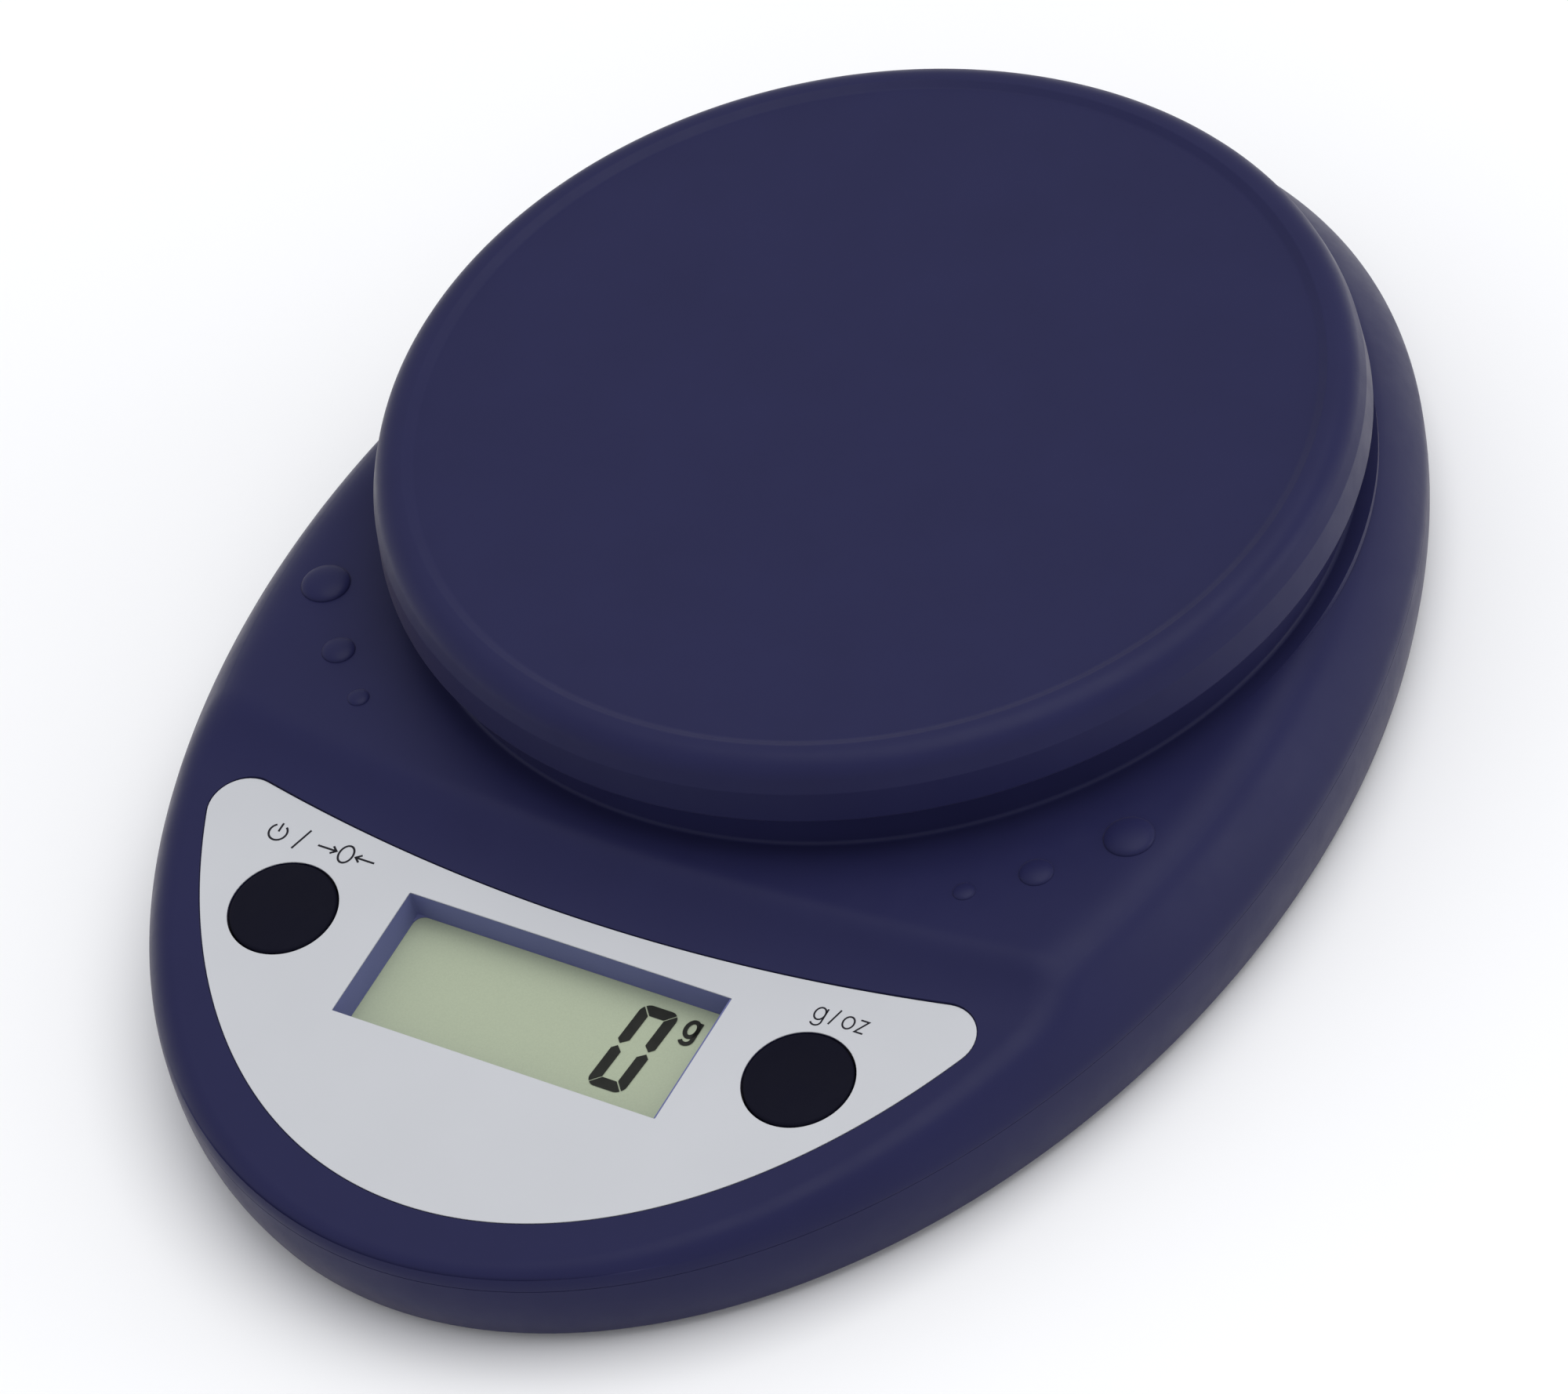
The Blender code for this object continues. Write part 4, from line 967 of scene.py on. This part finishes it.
def display():
    """The grey-green panel at the window's bottom, with a 0 and its unit."""
    top = -LCD_DROP - 0.25 * MM
    outline = block_outline(WINDOW_WIDTH + 3.6 * MM, WINDOW_DEPTH + 4.0 * MM)
    mesh = prism_mesh("lcd_panel", outline, -LCD_THICK / 2, LCD_THICK / 2)
    panel = new_object("lcd_panel", mesh, LCD, slot="lcd_glass")
    panel.matrix_world = CONSOLE @ at(0.0, 0.0, top - LCD_THICK / 2)
    round_edges(panel, 0.2 * MM)
    smooth(panel)
    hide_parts("lcd_module")
    film = CONSOLE @ at(0.0, 0.0, top + 0.1 * MM)
    left, base = DIGIT_PLACE
    bars = []
    for bar in zero_bars(DIGIT_HALF_WIDTH, DIGIT_HALF_HEIGHT, DIGIT_BAR, DIGIT_CORNER, DIGIT_GAP):
        bars.append(([(left + x + DIGIT_LEAN * y, base + y) for x, y in bar], [range(len(bar))]))
    film_object("lcd_zero", bars, -SEGMENT_THICK, SEGMENT_THICK, SEGMENT, film)
    strokes_object("lcd_unit", letter("g", *LCD_UNIT), LCD_UNIT_STROKE, 0.0, SEGMENT_THICK, SEGMENT, film)


def buttons():
    """Soft black caps, nearly flush, with a faint crown and a rounded edge."""
    flange = BUTTON_RADIUS + BUTTON_FLANGE
    for name, side in SIDES.items():
        profile = rounded(
            [
                (0.0, 0.55 * MM),
                (4.0 * MM, 0.50 * MM, 20 * MM),
                (BUTTON_RADIUS, 0.15 * MM, 0.55 * MM),
                (BUTTON_RADIUS, -3.0 * MM),
                (flange, -3.0 * MM, 0.2 * MM),
                (flange, -BUTTON_DEPTH, 0.2 * MM),
                (0.0, -BUTTON_DEPTH),
            ],
            8,
        )
        place = CONSOLE @ at(side * BUTTON_X, BUTTON_Y)
        cap = turned(f"{name}_cap", profile, 128, BUTTON, place, body=f"{name}_button", slot="button_black")
        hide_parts(f"{name}_button_cap")


# -------------------- lower housing, underside and inside


def screw_head_mesh(radius, height, shank, length):
    """A pan head with a cross recess, head towards -Z, bearing face at z = 0."""
    profile = rounded(
        [
            (0.0, length),
            (shank * 0.55, length),
            (shank, length - 0.9 * MM),
            (shank, 0.0),
            (radius, 0.0, 0.1 * MM),
            (radius, -height, height * 0.55),
            (0.0, -height),
        ],
        6,
    )
    return revolved_mesh("screw", profile, 48)


def cross_recess(radius, height):
    """The two slots of a cross recess, cut into the low face of a head of this height."""
    slot = block_outline(radius * 1.25, radius * 0.26, radius * 0.05, steps=2)
    steps = []
    for turn in (0.0, 90.0):
        mesh = prism_mesh("cross", slot, -CROSS_DEPTH, PAST)
        mesh.transform(Matrix.Rotation(math.radians(turn + CROSS_TURN), 4, "Z"))
        mesh.transform(at(0.0, 0.0, -height))
        steps.append((mesh, Matrix.Rotation(math.pi, 4, "X") @ at(0.0, 0.0, 2 * height)))
    return steps


def fine_screw(node, upside=False):
    """Stands for one CAD screw, with a real cross recess. Its head is at the low end unless upside is set."""
    low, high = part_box(node)
    radius = (high.x - low.x) / 2
    height = CARRIER_HEAD if upside else radius * 0.66
    shank = radius * (0.6 if radius > 3.0 * MM else 0.5)
    mesh = screw_head_mesh(radius, height, shank, high.z - low.z - height)
    item = new_object(f"fine_{node}", mesh, STEEL, body="platform" if upside else "body", slot="steel")
    flip = Matrix.Rotation(math.pi, 4, "X") if upside else Matrix.Identity(4)
    bearing = high.z - height if upside else low.z + height
    item.matrix_world = at((low.x + high.x) / 2, (low.y + high.y) / 2, bearing) @ flip
    carve(item, [cut(slot, item.matrix_world @ turn) for slot, turn in cross_recess(radius, height)])
    smooth(item)
    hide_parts(node)


def lower_housing():
    inner = HALF_WIDTH - TONGUE_INNER
    tongue = HALF_WIDTH - TONGUE_OUTER
    top = BELT_Z - PARTING_GAP / 2
    rim = top + TONGUE_RISE
    profile = rounded(
        [
            (0.0, SOLE_Z + FLOOR),
            (SOLE_HALF_WIDTH - 3.4 * MM, SOLE_Z + FLOOR, 1.5 * MM),
            (inner, top),
            (inner, rim, 0.2 * MM),
            (tongue, rim, 0.3 * MM),
            (tongue, top),
            (HALF_WIDTH, top, PARTING_EDGE),
            (HALF_WIDTH, BELT_Z * 0.6, 29 * MM),
            (SOLE_HALF_WIDTH + 0.15 * MM, SOLE_Z, 1.1 * MM),
            (0.0, SOLE_Z),
        ],
        6,
    )
    mesh = revolved_mesh("lower", profile, 256, STRETCH)
    item = new_object("housing_base", mesh, NAVY, slot="navy_plastic")
    carve(item, bay_and_pillars(top) + underside_seats() + door_seats())
    smooth(item, 28.0)
    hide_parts("lower_housing")


def bay_and_pillars(top):
    """The tongue ends where the console is. The bay's walls, the load cell's pedestal and the pillars."""
    bay_low, bay_high = bay_box()
    bay_centre = ((bay_low.x + bay_high.x) / 2, (bay_low.y + bay_high.y) / 2)
    bay_size = (bay_high.x - bay_low.x + 2 * BAY_WALL, bay_high.y - bay_low.y + 2 * BAY_WALL)
    anchor_y = (centre_of("anchor_screw_1").y + centre_of("anchor_screw_2").y) / 2
    inside = SOLE_Z + 0.3 * MM
    front = block_outline(200 * MM, 60 * MM, 0.0, (0.0, -88 * MM))
    walls = block_outline(*bay_size, 1.5 * MM, bay_centre)
    pedestal = block_outline(*PEDESTAL, 1 * MM, (0.0, anchor_y))
    steps = [
        cut(prism_mesh("front", front, top + 0.04 * MM, 30 * MM)),
        join(prism_mesh("bay", walls, inside, bay_high.z + BAY_WALL - 0.6 * MM)),
        join(prism_mesh("pedestal", pedestal, inside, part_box("load_cell")[0].z - 0.3 * MM)),
    ]
    head, head_top, shank = SCREW_SEAT
    for node in HOUSING_SCREWS:
        matrix = below(node)
        steps.append(join(cylinder_mesh(PILLAR_RADIUS, inside, PILLAR_TOP, 40), matrix))
        steps.append(cut(cylinder_mesh(head, 0.0, head_top, 48), matrix))
        steps.append(cut(cylinder_mesh(shank, 2 * MM, PILLAR_TOP + PAST, 32), matrix))
    return steps


def underside_seats():
    """Sunk seats for the load cell's two screws, and shallow ones for the feet."""
    steps = []
    head, head_top, shank = ANCHOR_SEAT
    for node in ("anchor_screw_1", "anchor_screw_2"):
        steps.append(cut(cylinder_mesh(head, 0.0, head_top, 48), below(node)))
        steps.append(cut(cylinder_mesh(shank, 3 * MM, 12 * MM, 32), below(node)))
    radius, depth = FOOT_SEAT
    for node in FEET:
        steps.append(cut(cylinder_mesh(radius, 0.0, SOLE_Z + depth, 64), below(node)))
    return steps


def door_seats():
    """The battery bay's opening, its thumb notch, the pins' bore and the contacts' slots."""
    low, high = bay_box()
    centre = ((low.x + high.x) / 2, (low.y + high.y) / 2)
    hollow = block_outline(high.x - low.x, high.y - low.y, 0.4 * MM, centre, 3)
    thumb = circle_outline(THUMB_RADIUS, 64, (centre[0], low.y))
    reach = (high.x - low.x) / 2 + 1.8 * MM
    quarter = Matrix.Rotation(math.pi / 2, 4, "Y")
    steps = [
        cut(prism_mesh("bay_hollow", hollow, -PAST, high.z)),
        cut(prism_mesh("thumb", thumb, -PAST, THUMB_DEPTH)),
        cut(cylinder_mesh(HINGE_BORE, -reach, reach, 32), Matrix.Translation(hinge_place()) @ quarter),
    ]
    slot = block_outline(3.2 * MM, 6 * MM)
    for name in ("contact_plate_positive", "contact_plate_negative"):
        place = at(centre_of(name).x, low.y - 1.5 * MM, centre_of("contact_bridge").z)
        steps.append(cut(prism_mesh("slot", slot, -0.6 * MM, 0.6 * MM), place))
    return steps


def bay_box():
    """The inside of the battery bay, from the door and the contacts."""
    door_low, door_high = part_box("battery_door")
    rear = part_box("contact_bridge")[1].y + 0.3 * MM
    centre_x = (door_low.x + door_high.x) / 2
    low = Vector((centre_x - BAY_HALF_WIDTH, door_low.y - 0.4 * MM, 0.0))
    high = Vector((centre_x + BAY_HALF_WIDTH, rear, BAY_TOP))
    return low, high


def hinge_place():
    joint = next(j for j in frame["joints"] if j["name"] == "battery_lid_hinge")
    return Vector(joint["pos_m"])


def battery_lid():
    """The door panel with its hinge pins, latch tab and four finger grooves."""
    low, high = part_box("battery_door")
    bay_low, bay_high = bay_box()
    hinge = hinge_place()
    width = bay_high.x - bay_low.x - 0.7 * MM
    centre = ((low.x + high.x) / 2, (low.y + hinge.y) / 2)
    outline = block_outline(width, hinge.y - low.y, 0.8 * MM, centre)
    mesh = prism_mesh("lid", outline, low.z, low.z + LID_THICK)
    item = new_object("battery_lid_panel", mesh, NAVY, body="battery_lid", slot="navy_plastic")
    half = (high.x - low.x) / 2
    quarter = Matrix.Rotation(math.pi / 2, 4, "Y")
    latch = block_outline(9 * MM, 1.2 * MM, 0.3 * MM, (centre[0], low.y + 1.4 * MM), 3)
    steps = [
        join(cylinder_mesh(HINGE_PIN, -half, half, 40), Matrix.Translation(hinge) @ quarter),
        join(prism_mesh("latch", latch, low.z + 0.5 * MM, high.z)),
    ]
    for index in range(4):
        y = low.y + (4.0 + 2.0 * index) * MM
        groove = block_outline(12 * MM, 0.9 * MM, 0.4 * MM, (centre[0], y), 5)
        steps.append(cut(prism_mesh("groove", groove, low.z - PAST, low.z + 0.4 * MM)))
    carve(item, steps)
    smooth(item, 28.0)
    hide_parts("battery_door")


def feet():
    for node in FEET:
        low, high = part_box(node)
        radius = (high.x - low.x) / 2
        profile = rounded(
            [
                (0.0, high.z),
                (radius, high.z, 0.2 * MM),
                (radius, 0.0, 0.5 * MM),
                (radius - 1.4 * MM, 0.0, 0.2 * MM),
                (radius - 1.8 * MM, 0.25 * MM, 0.2 * MM),
                (0.0, 0.25 * MM),
            ],
            5,
        )
        pad = turned(node.replace("foot", "pad"), profile, 72, RUBBER, below(node), slot="rubber")
        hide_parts(node)


def batteries():
    for index, way in ((1, -1), (2, 1)):
        node = f"battery_{index}"
        low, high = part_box(node)
        radius = (high.x - low.x) / 2
        length = high.y - low.y
        sleeve = rounded(
            [
                (2.75 * MM, -1.3 * MM),
                (radius, -1.3 * MM, 0.5 * MM),
                (radius, -length + 0.35 * MM, 0.5 * MM),
                (radius - 1.2 * MM, -length + 0.35 * MM),
                (radius - 1.2 * MM, -2.4 * MM),
                (2.75 * MM, -2.4 * MM),
                (2.75 * MM, -1.3 * MM),
            ],
            5,
        )
        can = rounded(
            [
                (0.0, 0.0),
                (2.65 * MM, 0.0, 0.4 * MM),
                (2.65 * MM, -1.6 * MM),
                (radius - 1.3 * MM, -1.6 * MM),
                (radius - 1.3 * MM, -length, 0.3 * MM),
                (0.0, -length),
            ],
            5,
        )
        tip = low.y if way < 0 else high.y
        turn = Matrix.Rotation(math.radians(-90.0 * way), 4, "X")
        matrix = at((low.x + high.x) / 2, tip, (low.z + high.z) / 2) @ turn
        jacket = turned(f"cell_{index}_sleeve", sleeve, 96, JACKET, matrix, slot="battery_jacket")
        turned(f"cell_{index}_can", can, 96, NICKEL, matrix, slot="battery_jacket")
        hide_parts(node)


KEPT = (
    (GREY, ("platform_carrier", "left_switch_plunger", "right_switch_plunger")),
    (BLACK, ("controller_blob", "lcd_connector", "left_switch_body", "right_switch_body")),
    (ALUMINIUM, ("load_cell",)),
    (SILICONE, ("gauge_potting_upper", "gauge_potting_lower")),
    (GREY_LEAD, ("load_cell_lead",)),
    (RED_LEAD, ("battery_lead_red",)),
    (BLACK_LEAD, ("battery_lead_black",)),
    (BOARD, ("circuit_board",)),
    (NICKEL, ("contact_plate_positive", "contact_plate_negative", "contact_bridge")),
    (NICKEL, ("contact_spring_1", "contact_spring_2")),
    (STEEL, ("board_screw_left", "board_screw_right")),
)


def kept_nodes():
    """Inner parts keep their CAD shape and get their own materials."""
    for material, nodes in KEPT:
        for node in nodes:
            mesh = frame["nodes"][node].data
            mesh.materials.clear()
            mesh.materials.append(material)


# -------------------- stage

CAMERA_PLACE = (0.6170, -0.7420, 0.9882)
CAMERA_AZIMUTH = math.radians(39.84)
CAMERA_ELEVATION = math.radians(45.36)
CAMERA_ROLL = math.radians(13.29)
CAMERA_LENS = 237.9


def camera():
    right = Vector((math.cos(CAMERA_AZIMUTH), math.sin(CAMERA_AZIMUTH), 0.0))
    ahead = Vector(
        (
            -math.sin(CAMERA_AZIMUTH) * math.cos(CAMERA_ELEVATION),
            math.cos(CAMERA_AZIMUTH) * math.cos(CAMERA_ELEVATION),
            -math.sin(CAMERA_ELEVATION),
        )
    )
    up = right.cross(ahead)
    axis_x = right * math.cos(CAMERA_ROLL) - up * math.sin(CAMERA_ROLL)
    axis_y = right * math.sin(CAMERA_ROLL) + up * math.cos(CAMERA_ROLL)
    data = bpy.data.cameras.new("camera")
    data.lens = CAMERA_LENS
    data.sensor_width = 36.0
    data.sensor_fit = "HORIZONTAL"
    data.clip_start = 0.01
    data.clip_end = 50.0
    item = linked("camera", data)
    turn = Matrix((axis_x, axis_y, -ahead)).transposed().to_4x4()
    item.matrix_world = Matrix.Translation(CAMERA_PLACE) @ turn
    bpy.context.scene.camera = item


def area_light(name, place, target, size, power):
    data = bpy.data.lights.new(name, "AREA")
    data.shape = "RECTANGLE"
    data.size, data.size_y = size
    data.energy = power
    item = linked(name, data)
    aim = Vector(target) - Vector(place)
    item.matrix_world = Matrix.Translation(place) @ aim.to_track_quat("-Z", "Y").to_matrix().to_4x4()


def stage():
    """A pale floor, an even surround, a large soft light overhead and two small ones at the sides."""
    disc = prism_mesh("floor", circle_outline(6.0, 96), -0.02, 0.0)
    floor = new_object("floor", disc, FLOOR_WHITE, body=None)
    world = bpy.data.worlds.new("studio")
    world.use_nodes = True
    background = world.node_tree.nodes["Background"]
    background.inputs["Color"].default_value = (0.96, 0.97, 1.0, 1.0)
    background.inputs["Strength"].default_value = 0.72
    bpy.context.scene.world = world
    area_light("overhead", (0.45, 0.45, 2.4), (0.0, 0.0, 0.0), (2.3, 2.3), 33.0)
    area_light("right_rear", (1.7, 1.0, 0.42), (0.0, 0.05, 0.02), (0.9, 0.9), 6.5)
    area_light("left", (-1.7, -0.3, 0.55), (0.0, -0.03, 0.01), (0.8, 0.8), 0.6)
    scene = bpy.context.scene
    scene.view_settings.view_transform = "Standard"
    scene.view_settings.look = "None"


upper_housing()
platform()
face_label()
legends()
window_parts()
display()
buttons()
lower_housing()
battery_lid()
feet()
batteries()
for screw in HOUSING_SCREWS + ["anchor_screw_1", "anchor_screw_2"]:
    fine_screw(screw)
for screw in ("carrier_screw_1", "carrier_screw_2"):
    fine_screw(screw, upside=True)
kept_nodes()
for piece in list(bpy.context.scene.objects):
    if piece.get("ride_on"):
        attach(piece, piece["ride_on"])
stage()
camera()
